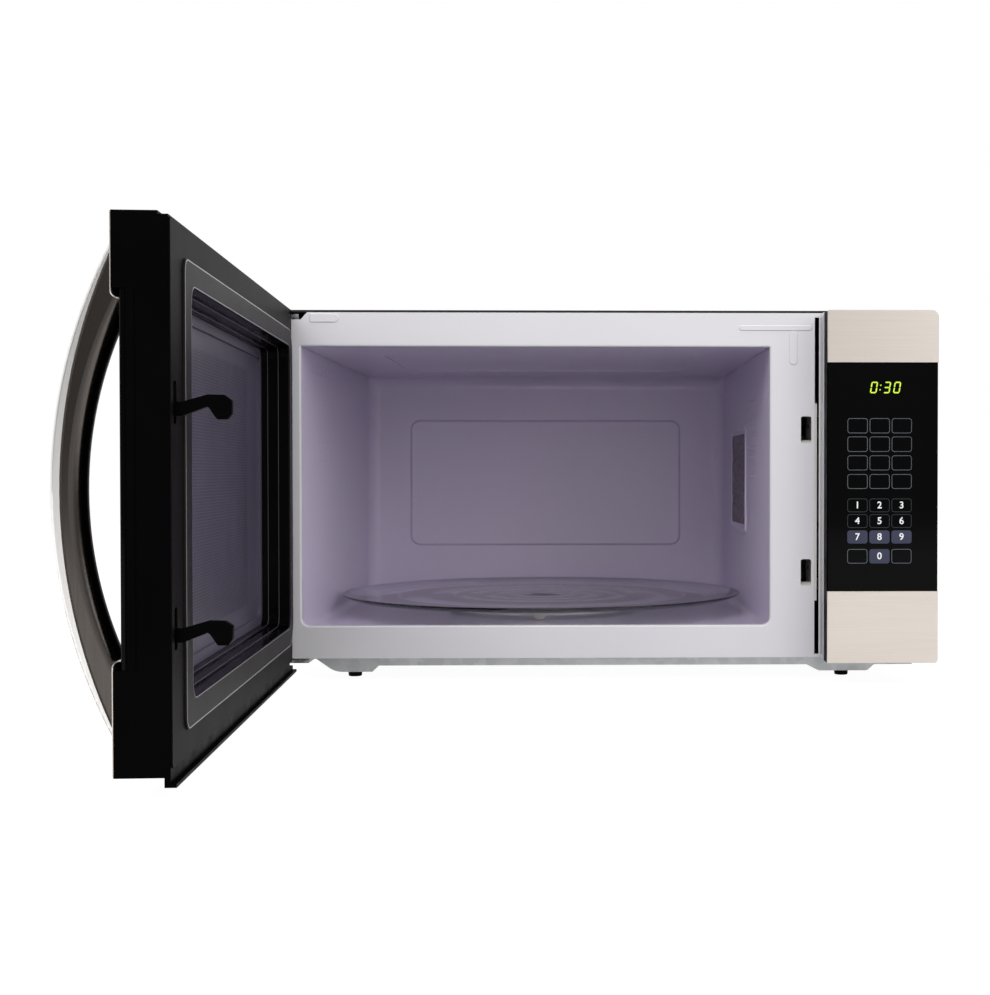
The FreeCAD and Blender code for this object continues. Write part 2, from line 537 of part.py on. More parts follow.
def back_panel():
    """Back panel with a flange all round, the exhaust slots and the cord's hole."""
    x0, x1 = -HALF_W + WRAP_SHEET + 0.2, HALF_W - WRAP_SHEET - 0.2
    z1 = CASE_TOP - WRAP_SHEET - 0.2
    panel = slab(rect(x0, x1, FRAME_Z0, z1), "xz", BACK - 11, BACK, [0, 0, 1.5, 1.5])
    panel = panel.cut(box(x0 + SHEET, x1 - SHEET, 0, BACK - SHEET, FRAME_Z0 + SHEET, z1 - SHEET))
    cuts = [rod(CORD_R, (CORD_X, BACK - 8, CORD_Z), (CORD_X, BACK + 3, CORD_Z))]
    for x, z in grid(3, 10, 26.0, 7.0, FAN_X, FAN_Z):
        cuts.append(slot(x, z, 21.0, 3.2, "xz", BACK - 4, BACK + 2))
    for x, z in grid(7, 3, 26.0, 7.0, TRAY_X, OPEN_Z1 - 24):
        cuts.append(slot(x, z, 21.0, 3.2, "xz", BACK - 4, BACK + 2))
    cuts += [rod(2.1, (x, BACK - 3, z), (x, BACK + 1, z)) for x, z in back_screw_spots()]
    raised = slab(rect(OPEN_X0 + 60, OPEN_X1 - 60, FLOOR_Z + 50, OPEN_Z1 - 60), "xz", BACK - SHEET - 2.0, BACK, 10.0)
    dish = slab(rect(OPEN_X0 + 61, OPEN_X1 - 61, FLOOR_Z + 51, OPEN_Z1 - 61), "xz", BACK - 2.0, BACK + 2.0, 9.0)
    return fuse(panel.cut(cuts), raised).cut(dish)


CORD_X = 262.0
CORD_Z = 52.0
CORD_R = 7.5


def cord_gland():
    """Moulded strain-relief bush where the supply cord leaves the back panel."""
    body = rod(CORD_R - 0.1, (CORD_X, BACK - 9, CORD_Z), (CORD_X, BACK + 2, CORD_Z))
    flange = rod(CORD_R + 3.0, (CORD_X, BACK, CORD_Z), (CORD_X, BACK + 2.5, CORD_Z))
    flange = flange.makeChamfer(1.0, [e for e in flange.Edges if flat_at(e, "y", BACK + 2.5)])
    collar = rod(CORD_R + 2.0, (CORD_X, BACK - 9, CORD_Z), (CORD_X, BACK - SHEET, CORD_Z))
    bore = rod(3.9, (CORD_X, BACK - 12, CORD_Z), (CORD_X, BACK + 6, CORD_Z))
    return fuse(body, flange, collar).cut(bore)


def tub_shape():
    """The drawn underside: a shallow tub with a pad at each corner."""
    y0, y1 = FRONT + BASE_SETBACK, BACK - BASE_SETBACK
    left, right = -HALF_W + TUB_LEFT, HALF_W - TUB_RIGHT
    tub = slab([(left + TUB_SLOPE, TUB_Z), (right - 6, TUB_Z), (right, FRAME_Z0), (left, FRAME_Z0)], "xz", y0, y1, [6, 3, 0, 0])
    foot = FOOT_SPACING_X / 2
    lobes = []
    for a, b in ((y0, y0 + PAD_LENGTH), (y1 - PAD_LENGTH, y1)):
        lobes.append(slab([(left, FRAME_Z0), (-foot - 13.0, PAD_Z), (-foot + 21.5, PAD_Z), (-foot + 27.5, TUB_Z + 0.5), (-foot + 27.5, FRAME_Z0)],
                          "xz", a, b, [0, 22.0, 2.0, 2.0, 0]))
        lobes.append(slab([(foot - 40.0, FRAME_Z0), (foot - 40.0, TUB_Z + 0.5), (foot - 27.5, PAD_Z), (foot + 17.5, PAD_Z), (foot + 24.5, TUB_Z + 0.5),
                           (foot + 24.5, FRAME_Z0)], "xz", a, b, [0, 2.0, 4.0, 3.0, 2.0, 0]))
    return fuse(tub, *lobes)


def base_plate():
    """Drawn base: flange, tub, four foot pads, cooling slots and the turntable motor's access ring."""
    outer = tub_shape()
    y0, y1 = FRONT + BASE_SETBACK, BACK - BASE_SETBACK
    rim = box(FRAME_X0, FRAME_X1, y0, y1, RIM_Z, FRAME_Z0)
    lifted = outer.copy()
    lifted.translate(V(0, 0, SHEET))
    lifted = lifted.common(box(-HALF_W, HALF_W, y0 + SHEET, y1 - SHEET, 0, FRAME_Z0 + 5))
    base = fuse(rim, outer).cut(lifted)
    cuts = []
    for x in (-FOOT_SPACING_X / 2, FOOT_SPACING_X / 2):
        for y in (-FOOT_SPACING_Y / 2, FOOT_SPACING_Y / 2):
            cuts.append(rod(FOOT_STEM_R + 0.05, (x, y, PAD_Z - 2), (x, y, PAD_Z + 4)))
    for x, y in grid(5, 3, 15.0, 34.0, IRON_X - 6, 20.0):
        cuts.append(slot(x, y, 26.0, 4.0, "xy", TUB_Z - 2, TUB_Z + 3, upright=True))
    ring = rod(MOTOR_R + 8, (TRAY_X, TRAY_Y, TUB_Z - 0.8), (TRAY_X, TRAY_Y, TUB_Z + 0.5))
    ring = ring.cut(rod(MOTOR_R + 5, (TRAY_X, TRAY_Y, TUB_Z - 3), (TRAY_X, TRAY_Y, TUB_Z + 3)))
    return fuse(base, ring).cut(cuts)


def feet():
    """Four rubber feet, each pushed through its pad on a barbed stem, with a screw recess below."""
    made = []
    for x in (-FOOT_SPACING_X / 2, FOOT_SPACING_X / 2):
        for y in (-FOOT_SPACING_Y / 2, FOOT_SPACING_Y / 2):
            foot = turned([(FOOT_BORE_R, 0), (FOOT_TIP_R - 0.6, 0), (FOOT_TIP_R, 0.6), (FOOT_R, FOOT_HEIGHT), (FOOT_STEM_R, FOOT_HEIGHT),
                           (FOOT_STEM_R, FOOT_HEIGHT + SHEET), (FOOT_STEM_R + 1.2, FOOT_HEIGHT + SHEET),
                           (FOOT_STEM_R - 0.4, FOOT_HEIGHT + SHEET + 3), (0, FOOT_HEIGHT + SHEET + 3), (0, FOOT_BORE_DEPTH),
                           (FOOT_BORE_R, FOOT_BORE_DEPTH)], (x, y))
            made.append(foot)
    return Part.makeCompound(made)


# ---- hinge ------------------------------------------------------------------------------------------
def hinge_arm(z0, reach, flare):
    """A flat arm from the pin to behind the frame's face, widening once it is past the door."""
    eye = rod(ARM_R, (PIN_X, PIN_Y, z0), (PIN_X, PIN_Y, z0 + ARM_T))
    bar = slab([(PIN_X - ARM_R, PIN_Y), (PIN_X + ARM_R, PIN_Y), (PIN_X + ARM_R, FRONT), (PIN_X + flare, FRONT + 0.4),
                (PIN_X + flare, FRONT + reach), (PIN_X - ARM_R, FRONT + reach)], "xy", z0, z0 + ARM_T, [0, 0, 0, 0, 2, 2])
    hole = rod(PIN_R, (PIN_X, PIN_Y, z0 - 1), (PIN_X, PIN_Y, z0 + ARM_T + 1))
    return fuse(eye, bar).cut(hole)


def hinge_upper():
    """Upper hinge bracket: the arm through the frame's notch and a leg down behind the frame."""
    arm = hinge_arm(ARM_Z_TOP - ARM_T, 24.0, 18.0)
    y0 = FRONT + SHEET
    leg = slab(rect(PIN_X - ARM_R, PIN_X + 18.0, ARM_Z_TOP - 46, ARM_Z_TOP), "xz", y0, y0 + ARM_T, [4, 4, 0, 0])
    holes = [rod(2.1, (PIN_X + 5, y0 - 1, z), (PIN_X + 5, y0 + 5, z)) for z in (ARM_Z_TOP - 36, ARM_Z_TOP - 20)]
    return fuse(arm, leg).cut(holes)


def hinge_lower():
    """Lower hinge bracket: the arm bolted up under the base flange."""
    arm = hinge_arm(LOW_ARM_Z, 34.0, 26.0)
    holes = [rod(2.1, (PIN_X + x, FRONT + 22, LOW_ARM_Z - 1), (PIN_X + x, FRONT + 22, LOW_ARM_Z + 6)) for x in (0, 16)]
    return arm.cut(holes)


def hinge_pins():
    """Two steel pins riveted in the arms; the upper points down, the lower points up."""
    low = rod(PIN_R, (PIN_X, PIN_Y, LOW_ARM_Z), (PIN_X, PIN_Y, LOW_PIN_TOP))
    high = rod(PIN_R, (PIN_X, PIN_Y, HIGH_PIN_LOW), (PIN_X, PIN_Y, ARM_Z_TOP))
    low = low.makeChamfer(0.8, [e for e in low.Edges if flat_at(e, "z", LOW_PIN_TOP)])
    high = high.makeChamfer(0.8, [e for e in high.Edges if flat_at(e, "z", HIGH_PIN_LOW)])
    return Part.makeCompound([low, high])


def pan_screw(x, y, z, direction, length=9.0, head_r=3.6, shank_r=2.0):
    """A cross-recessed pan-head screw whose head bears at the given point."""
    d = V(*direction)
    p = V(x, y, z)
    head = Part.makeCylinder(head_r, 2.2, p, d * -1)
    head = head.makeChamfer(0.8, [e for e in head.Edges if abs((e.CenterOfMass - p).dot(d) + 2.2) < 1e-3])
    shank = Part.makeCylinder(shank_r, length, p, d)
    side = V(0, 0, 1) if abs(d.z) < 0.5 else V(1, 0, 0)
    other = d.cross(side)
    blades = []
    for u, w in ((side, other), (other, side)):
        corner = p - d * 2.6 - u * 2.0 - w * 0.4
        a = Part.makePolygon([corner, corner + u * 4.0, corner + u * 4.0 + w * 0.8, corner + w * 0.8, corner])
        blades.append(Part.Face(a).extrude(d * 1.4))
    return head.fuse(shank).cut(blades).removeSplitter()


def hinge_screws():
    """Screws that hold the two hinge brackets."""
    y = FRONT + SHEET + ARM_T
    upper = [pan_screw(PIN_X + 5, y, z, (0, -1, 0), ARM_T) for z in (ARM_Z_TOP - 36, ARM_Z_TOP - 20)]
    lower = [pan_screw(PIN_X + x, FRONT + 22, LOW_ARM_Z, (0, 0, 1), ARM_T) for x in (0, 16)]
    return Part.makeCompound(upper + lower)


def back_screw_spots():
    """Places of the screws through the back panel's face."""
    high, low = CASE_TOP - WRAP_SHEET - 7.5, FRAME_Z0 + 7.5
    side = HALF_W - 8.5
    return [(-side, high), (side, high), (-side, low), (side, low), (-HALF_W / 2, high), (HALF_W / 2, high)]


def cabinet_screws():
    """Screws through the back panel's face, which close the cabinet."""
    return Part.makeCompound([pan_screw(x, BACK, z, (0, -1, 0), 7.0) for x, z in back_screw_spots()])


# ---- control panel ----------------------------------------------------------------------------------
def panel_outline(z0, z1, top_r, bottom_r):
    """The panel's front outline between two heights, its outer corners rounded more than its inner ones."""
    return rect(PANEL_X0, PANEL_X1, z0, z1), [bottom_r * 0.3, bottom_r, top_r, top_r * 0.3]


def control_panel_housing():
    """Moulded panel housing: a tray open at the back with board bosses, display window and rear skirt."""
    skin_y = PANEL_Y + CAP_T
    glass_y = PANEL_Y + 0.5 + PANEL_GLASS_T
    pts, radii = panel_outline(PANEL_Z0, PANEL_Z1, PANEL_R, PANEL_R / 2)
    body = slab(pts, "xz", skin_y, FRONT - PANEL_T / 2 - FIT_GAP, radii)
    w = PANEL_WALL
    skirt = box(PANEL_X0 + FIT_GAP, PANEL_X1, FRONT - PANEL_T / 2 - FIT_GAP, FRONT - FIT_GAP, PANEL_Z0 + 2, PANEL_Z1 - 1)
    body = body.fuse(skirt)
    hollow = box(PANEL_X0 + w + FIT_GAP, PANEL_X1 - w, glass_y + w, FRONT + 5, PANEL_Z0 + w + 2, PANEL_Z1 - w - 1)
    cuts = [hollow, box(PANEL_X0 - 5, PANEL_X1 + 5, PANEL_Y - 5, glass_y, PANEL_SPLIT_BOTTOM, PANEL_SPLIT_TOP),
            box(KEY_X0, KEY_X1, glass_y - 1, glass_y + 0.6, KEY_Z0, KEY_Z1),
            box(DISPLAY_X - DISPLAY_W / 2 - 0.3, DISPLAY_X + DISPLAY_W / 2 + 0.3, PANEL_Y, glass_y + w + 5,
                DISPLAY_Z - DISPLAY_H / 2 - 0.3, DISPLAY_Z + DISPLAY_H / 2 + 0.3)]
    body = body.cut(cuts)
    bosses = []
    for x in (BOARD_X0 + 4, BOARD_X1 - 4):
        for z in (BOARD_Z0 + 4, BOARD_Z1 - 4):
            bosses.append(rod(3.2, (x, glass_y + w - 0.5, z), (x, PANEL_Y + BOARD_BACK, z)))
    ribs = [box(PANEL_X0 + w, PANEL_X1 - w, glass_y + w - 0.5, PANEL_Y + BOARD_BACK - 3, z, z + 1.6)
            for z in (PANEL_SPLIT_BOTTOM - 30, PANEL_SPLIT_TOP + 22)]
    return fuse(body, *bosses, *ribs)


def panel_trim(z0, z1, top):
    """A pressed steel trim on the panel's front, turned over its outer edges."""
    pts, radii = panel_outline(z0, z1, PANEL_R if top else 0, 0 if top else PANEL_R / 2)
    skin = slab(pts, "xz", PANEL_Y, PANEL_Y + CAP_T, radii)
    return rounded(skin, 0.5, lambda e: flat_at(e, "y", PANEL_Y))


def panel_top_trim():
    """Upper steel trim of the control panel."""
    return panel_trim(PANEL_SPLIT_TOP + 0.2, PANEL_Z1, True)


def panel_bottom_trim():
    """Lower steel trim, with the fine fold line under the glass."""
    trim = panel_trim(PANEL_Z0, PANEL_SPLIT_BOTTOM - 0.2, False)
    return trim.cut(box(PANEL_X0 - 1, PANEL_X1 + 1, PANEL_Y - 1, PANEL_Y + 0.3, PANEL_SPLIT_BOTTOM - 6.4, PANEL_SPLIT_BOTTOM - 6.0))


def keypad_glass():
    """Black glass front of the control panel."""
    y = PANEL_Y + 0.5
    glass = box(PANEL_X0 + 0.3, PANEL_X1 - 0.3, y, y + PANEL_GLASS_T, PANEL_SPLIT_BOTTOM, PANEL_SPLIT_TOP)
    return glass.makeChamfer(0.4, [e for e in glass.Edges if flat_at(e, "y", y)])


def keypad_membrane():
    """Membrane switch sheet let into the housing behind the glass, with its tail."""
    y = PANEL_Y + 0.5 + PANEL_GLASS_T
    return box(KEY_X0 + 0.2, KEY_X1 - 0.2, y, y + 0.6, KEY_Z0 + 0.2, KEY_Z1 - 0.2)


def display_module():
    """Four-digit display block behind the glass, standing on the control board."""
    y0 = PANEL_Y + 0.5 + PANEL_GLASS_T
    return box(DISPLAY_X - DISPLAY_W / 2, DISPLAY_X + DISPLAY_W / 2, y0, PANEL_Y + BOARD_BACK,
               DISPLAY_Z - DISPLAY_H / 2, DISPLAY_Z + DISPLAY_H / 2)


def control_board():
    """Control board with relays, transformer, capacitors and connectors on its back."""
    y0 = PANEL_Y + BOARD_BACK
    y1 = y0 + BOARD_T
    board = box(BOARD_X0, BOARD_X1, y0, y1, BOARD_Z0, BOARD_Z1)
    mid = (BOARD_X0 + BOARD_X1) / 2
    parts = [box(mid - 28, mid - 9, y1, y1 + 15, 120 + i * 24, 135 + i * 24) for i in range(3)]
    parts.append(box(mid + 2, mid + 30, y1, y1 + 17, 78, 108))
    parts += [rod(5.0, (mid + 12, y1 - 0.4, z), (mid + 12, y1 + 13, z)) for z in (124, 140)]
    parts += [box(mid + 24, mid + 34, y1, y1 + 9, z, z + 18) for z in (150, 190, 230)]
    parts.append(box(mid - 10, mid + 6, y1, y1 + 3, 212, 228))
    return fuse(board, *parts)


# ---- latch inside the cabinet -----------------------------------------------------------------------
def interlock_bracket():
    """Moulded latch bracket behind the frame: catches for both hooks and seats for the switches."""
    y0 = FRONT + SHEET
    x0, x1 = HOOK_X + 7.4, HOOK_X + 10.4
    low, high = HOOK_LOW_Z - 26, HOOK_HIGH_Z + 24
    web = box(x0, x1, y0, y0 + 46, low, high)
    face = box(HOOK_X - 10, x1, y0, y0 + 2.5, low, high)
    pieces = [web, face]
    face_y = FRONT - COVER_GAP - COVER_RAISE
    for z in (HOOK_LOW_Z, HOOK_HIGH_Z):
        top = z - CATCH_TOP
        ledge = slab([(face_y + CATCH_NEAR, top - 9), (face_y + CATCH_FAR, top - 9), (face_y + CATCH_FAR, top), (face_y + CATCH_NEAR, top)],
                     "yz", HOOK_X - 8, x0 + 0.5, [0, 3.0, 2.0, 3.0])
        floor = box(HOOK_X - 10, x0 + 0.5, y0, y0 + 38, top - 12, top - 8.5)
        roof = box(HOOK_X - 10, x0 + 0.5, y0, y0 + 38, z + SLOT_H / 2 + 2, z + SLOT_H / 2 + 4)
        pieces += [ledge, floor, roof]
    pieces += [box(HOOK_X - 10, x0 + 0.5, y0, y0 + 18, z, z + 2) for z in (low + 42, high - 62)]
    cuts = [slab(rect(HOOK_X + 0.4 - SLOT_W / 2 - 1, HOOK_X + 0.4 + SLOT_W / 2 + 1, z - SLOT_H / 2 - 1, z + SLOT_H / 2 + 1), "xz",
                 FRONT, y0 + 4, 2.0) for z in (HOOK_LOW_Z, HOOK_HIGH_Z)]
    cuts += [box(x0 - 1, x1 + 1, y0 + 30, y0 + 35, z - 2, z + 2) for z in SWITCH_Z]
    return fuse(*pieces).cut(cuts)


def microswitch(z):
    """A snap-action switch on the latch bracket, with its plunger, lever and three tabs."""
    x0 = HOOK_X + 10.4
    y0 = FRONT + SHEET + 10
    case = box(x0, x0 + 10.2, y0, y0 + 28, z - 8, z + 8)
    plunger = box(x0 - 3.0, x0, y0 + 20.6, y0 + 24.4, z - 1.6, z + 1.6)
    tabs = [box(x0 + 10.2, x0 + 17, y0 + k, y0 + k + 0.8, z - 3, z + 3) for k in (4, 14, 24)]
    body = fuse(case, plunger, *tabs)
    return body.cut([rod(1.6, (x0 - 1, y0 + k, z + 5), (x0 + 12, y0 + k, z + 5)) for k in (4, 14)])


def door_switch_primary():
    """Primary door switch, worked by the lower hook."""
    return microswitch(SWITCH_Z[0])


def door_switch_monitor():
    """Monitor switch, under the upper hook."""
    return microswitch(SWITCH_Z[1])


def door_switch_secondary():
    """Secondary door switch, worked by the upper hook."""
    return microswitch(SWITCH_Z[2])


# ---- machinery in the right-hand compartment ---------------------------------------------------------
def waveguide():
    """Waveguide duct on the cavity's right wall, open to the aperture, flanged and flat topped."""
    x1 = WALL_X + GUIDE_W
    outer = slab([(GUIDE_Y0, GUIDE_Z0), (GUIDE_Y1, GUIDE_Z0), (GUIDE_Y1, GUIDE_Z1), (GUIDE_Y0, GUIDE_Z1)], "yz", WALL_X, x1, 3.0)
    inner = slab(rect(GUIDE_Y0 + SHEET, GUIDE_Y1 - SHEET, GUIDE_Z0 + SHEET, GUIDE_Z1 - SHEET), "yz", WALL_X - 5, x1 - SHEET, 2.0)
    flange = box(WALL_X, WALL_X + SHEET, GUIDE_Y0 - 6, GUIDE_Y1 + 6, GUIDE_Z0 - 6, GUIDE_Z1 + 6)
    duct = fuse(outer, flange).cut(inner)
    return duct.cut(rod(ANTENNA_R + 1.5, (x1 - 4, TUBE_Y, TUBE_Z), (x1 + 4, TUBE_Y, TUBE_Z)))


ANTENNA_R = 7.5


def waveguide_cover():
    """Mica sheet over the waveguide's mouth, inside the cavity."""
    y0, y1 = GUIDE_Y0 - 5, GUIDE_Y1 + 9
    sheet = slab(rect(y0, y1, GUIDE_Z0 - 5, GUIDE_Z1 + 5), "yz", OPEN_X1 - MICA_T, OPEN_X1, 3.0)
    notches = [box(OPEN_X1 - 3, OPEN_X1 + 1, GUIDE_Y1 + 6.2, GUIDE_Y1 + 12, z - 5.3, z + 5.3) for z in (GUIDE_Z0 + 20, GUIDE_Z1 - 20)]
    return sheet.cut(notches)


def magnetron():
    """Magnetron: antenna, cooling fins between two yokes, magnet rings and filter box."""
    x0 = WALL_X + GUIDE_W
    x1 = x0 + TUBE_D
    y0, y1 = TUBE_Y - TUBE_W / 2, TUBE_Y + TUBE_W / 2
    z0, z1 = TUBE_Z - TUBE_H / 2, TUBE_Z + TUBE_H / 2
    near = box(x0, x0 + 2, y0, y1, z0, z1)
    far = box(x1 - 2, x1, y0, y1, z0, z1)
    sides = [box(x0, x1, y0, y0 + 1.6, z0, z1), box(x0, x1, y1 - 1.6, y1, z0, z1)]
    anode = rod(19.0, (x0 + 1, TUBE_Y, TUBE_Z), (x1 - 1, TUBE_Y, TUBE_Z))
    magnets = [rod(27.0, (x0 + 2, TUBE_Y, TUBE_Z), (x0 + 12, TUBE_Y, TUBE_Z)), rod(27.0, (x1 - 12, TUBE_Y, TUBE_Z), (x1 - 2, TUBE_Y, TUBE_Z))]
    pitch = (TUBE_D - 30) / 5
    fins = [box(x0 + 15 + i * pitch, x0 + 16 + i * pitch, y0 + 1, y1 - 1, z0 + 6, z1 - 6) for i in range(6)]
    antenna = rod(ANTENNA_R, (x0 - 21, TUBE_Y, TUBE_Z), (x0 + 1, TUBE_Y, TUBE_Z))
    antenna = antenna.makeChamfer(2.0, [e for e in antenna.Edges if flat_at(e, "x", x0 - 21)])
    filter_box = box(x1, x1 + 26, TUBE_Y - 26, TUBE_Y + 26, z0 + 8, z0 + 44)
    return fuse(near, far, *sides, anode, *magnets, *fins, antenna, filter_box)


def hv_transformer():
    """High-voltage transformer: laminated core, two windings and a foot plate on the base."""
    z0 = BASE_FLOOR
    x, y = IRON_X, IRON_Y
    foot = box(x - 44, x + 44, y - 46, y + 46, z0, z0 + 2)
    core = box(x - 36, x + 36, y - 42, y + 42, z0 + 2, z0 + 62)
    legs = [box(x - 40, x + 40, y - 24, y - 8, z0 + 12, z0 + 52), box(x - 40, x + 40, y + 8, y + 24, z0 + 12, z0 + 52)]
    windings = [slab(rect(x - 50, x + 50, z0 + 14, z0 + 50), "xz", y - 25, y - 2, 8.0), slab(rect(x - 50, x + 50, z0 + 14, z0 + 50), "xz", y + 4, y + 25, 8.0)]
    tabs = [box(x - 12 + i * 12, x - 6 + i * 12, y - 5, y - 4.2, z0 + 60, z0 + 70) for i in range(3)]
    slots = [rod(2.3, (x + i * 39, y + j * 40, z0 - 1), (x + i * 39, y + j * 40, z0 + 3)) for i in (-1, 1) for j in (-1, 1)]
    return fuse(foot, core, *legs, *windings, *tabs).cut(slots)


def hv_capacitor():
    """High-voltage capacitor: oval can lying on its clamp, with two terminals."""
    x, y, z = CAP_CAN_X, CAP_CAN_Y, BASE_FLOOR + 4
    can = slab([(x - 24, z), (x + 24, z), (x + 24, z + 32), (x - 24, z + 32)], "xz", y - 48, y + 40, 15.9)
    rim = slab([(x - 25, z - 1), (x + 25, z - 1), (x + 25, z + 33), (x - 25, z + 33)], "xz", y + 38, y + 40, 16.9)
    posts = [rod(3.5, (x + k, y + 39, z + 16), (x + k, y + 47, z + 16)) for k in (-11, 11)]
    blades = [box(x + k - 3, x + k + 3, y + 46, y + 54, z + 15.6, z + 16.4) for k in (-11, 11)]
    return fuse(can, rim, *posts, *blades)


def capacitor_clamp():
    """Sheet strap that holds the capacitor down on the base."""
    x, y, z = CAP_CAN_X, CAP_CAN_Y, BASE_FLOOR + 4
    outer = slab([(x - 25.2, z - 1.2), (x + 25.2, z - 1.2), (x + 25.2, z + 33.2), (x - 25.2, z + 33.2)], "xz", y - 16, y + 4, 17.1)
    inner = slab([(x - 24, z), (x + 24, z), (x + 24, z + 32), (x - 24, z + 32)], "xz", y - 20, y + 8, 15.9)
    foot = box(x - 20, x + 34, y - 16, y + 4, BASE_FLOOR, BASE_FLOOR + 1.6)
    post = box(x - 8, x + 8, y - 16, y + 4, BASE_FLOOR, z - 0.6)
    return fuse(outer.cut(inner), foot, post).cut(rod(2.3, (x + 30, y - 6, BASE_FLOOR - 1), (x + 30, y - 6, BASE_FLOOR + 3)))


def hv_diode():
    """High-voltage diode between a capacitor terminal and the base."""
    x, y, z = CAP_CAN_X + 11, CAP_CAN_Y + 54, BASE_FLOOR + 20
    body = rod(4.0, (x, y + 8, z - 14), (x, y + 8, z + 4))
    lead = box(x - 2.5, x + 2.5, y, y + 8.5, z - 0.3, z + 0.3)
    tail = rod(1.0, (x, y + 8, BASE_FLOOR + 0.8), (x, y + 8, z - 13))
    lug = box(x - 5, x + 5, y + 3, y + 13, BASE_FLOOR, BASE_FLOOR + 0.8)
    return fuse(body, lead, tail, lug)


def fan_shroud():
    """Fan plate on the back panel: a square plate with a round throat and the motor's two stays."""
    y0 = FAN_Y - 9
    plate = box(FAN_X - 62, FAN_X + 62, y0, y0 + 1.6, FAN_Z - 62, FAN_Z + 62)
    throat = rod(FAN_R + 5.6, (FAN_X, y0, FAN_Z), (FAN_X, FAN_Y + 9, FAN_Z))
    bore = rod(FAN_R + 4.0, (FAN_X, y0 - 5, FAN_Z), (FAN_X, BACK, FAN_Z))
    walls = [box(FAN_X + s * 61 - 1, FAN_X + s * 61 + 1, y0, BACK - SHEET, FAN_Z - 62, FAN_Z + 62) for s in (-1, 1)]
    bar_y = BACK - SHEET - 7
    stays = [box(FAN_X - 61, FAN_X + 61, bar_y, bar_y + 2, FAN_Z + k - 5, FAN_Z + k + 5) for k in (-20, 20)]
    body = fuse(plate, throat, *walls).cut(bore)
    return fuse(body, *stays)


def fan_motor():
    """Shaded-pole fan motor held on the stays, its shaft running forward to the impeller."""
    bar_y = BACK - SHEET - 7
    stack = box(FAN_X - 26, FAN_X + 26, bar_y - 9, bar_y, FAN_Z - 28, FAN_Z + 28)
    rotor = rod(14.0, (FAN_X, bar_y - 11, FAN_Z), (FAN_X, bar_y - 8, FAN_Z))
    shaft = rod(FAN_SHAFT_R, (FAN_X, FAN_Y - 12, FAN_Z), (FAN_X, bar_y - 8, FAN_Z))
    return fuse(stack, rotor, shaft)


def fan_impeller():
    """Five-bladed cooling fan on a round hub."""
    hub = rod(11.0, (FAN_X, FAN_Y - 8, FAN_Z), (FAN_X, FAN_Y + 4, FAN_Z))
    hub = rounded(hub, 2.0, lambda e: flat_at(e, "y", FAN_Y - 8))
    blades = []
    for i in range(5):
        blade = Part.makeLoft([fan_section(10.0, 6.0, 3.5), fan_section(30.0, 13.0, 5.0), fan_section(FAN_R - 2, 14.0, 5.4)], True, False)
        blade.rotate(V(FAN_X, FAN_Y, FAN_Z), V(0, 1, 0), 72 * i)
        blades.append(blade)
    whole = fuse(hub, *blades)
    return whole.cut(rod(FAN_SHAFT_R + 0.05, (FAN_X, FAN_Y - 20, FAN_Z), (FAN_X, FAN_Y + 20, FAN_Z)))


def fan_section(radius, half, rise):
    """One slanted section of a fan blade at a radius from the hub."""
    z = FAN_Z + radius
    y = FAN_Y - 2
    pts = [V(FAN_X - half, y - rise, z), V(FAN_X, y - 0.5, z), V(FAN_X + half, y + rise, z), V(FAN_X + half, y + rise + 1.2, z),
           V(FAN_X, y + 0.9, z), V(FAN_X - half, y - rise + 1.2, z), V(FAN_X - half, y - rise, z)]
    return Part.makePolygon(pts)


def air_duct():
    """Air duct that leads the fan's air past the magnetron."""
    x0, x1 = WALL_X + GUIDE_W + 1, FRAME_X1 - 6
    z0, z1 = TUBE_Z - TUBE_H / 2 - 3, TUBE_Z + TUBE_H / 2 + 3
    y0, y1 = GUIDE_Y1 + 7, FAN_Y - 9
    outer = Part.makeLoft([Part.makePolygon([V(*p) for p in q]) for q in (
        [(x0, y0, z0), (x1, y0, z0), (x1, y0, z1), (x0, y0, z1), (x0, y0, z0)],
        [(FAN_X - 60, y1, FAN_Z - 60), (FAN_X + 60, y1, FAN_Z - 60), (FAN_X + 60, y1, FAN_Z + 60), (FAN_X - 60, y1, FAN_Z + 60), (FAN_X - 60, y1, FAN_Z - 60)])], True, True)
    inner = Part.makeLoft([Part.makePolygon([V(*p) for p in q]) for q in (
        [(x0 + 1.4, y0 - 0.01, z0 + 1.4), (x1 - 1.4, y0 - 0.01, z0 + 1.4), (x1 - 1.4, y0 - 0.01, z1 - 1.4), (x0 + 1.4, y0 - 0.01, z1 - 1.4), (x0 + 1.4, y0 - 0.01, z0 + 1.4)],
        [(FAN_X - 58.6, y1 + 0.01, FAN_Z - 58.6), (FAN_X + 58.6, y1 + 0.01, FAN_Z - 58.6), (FAN_X + 58.6, y1 + 0.01, FAN_Z + 58.6), (FAN_X - 58.6, y1 + 0.01, FAN_Z + 58.6), (FAN_X - 58.6, y1 + 0.01, FAN_Z - 58.6)])], True, True)
    return outer.cut(inner)


def lamp_holder():
    """Lamp holder plate on the cavity's right wall, behind the lamp grille."""
    plate = slab(rect(LAMP_Y - 34, LAMP_Y + 34, LAMP_Z - 42, LAMP_Z + 42), "yz", WALL_X, WALL_X + 24, 3.0)
    plate = plate.cut(slab(rect(LAMP_Y - 32.6, LAMP_Y + 32.6, LAMP_Z - 40.6, LAMP_Z + 40.6), "yz", WALL_X - 1, WALL_X + 22.6, 2.0))
    socket = rod(9.5, (WALL_X + 23, LAMP_Y, LAMP_Z), (WALL_X + 40, LAMP_Y, LAMP_Z))
    return fuse(plate, socket).cut(rod(6.1, (WALL_X + 10, LAMP_Y, LAMP_Z), (WALL_X + 34, LAMP_Y, LAMP_Z)))


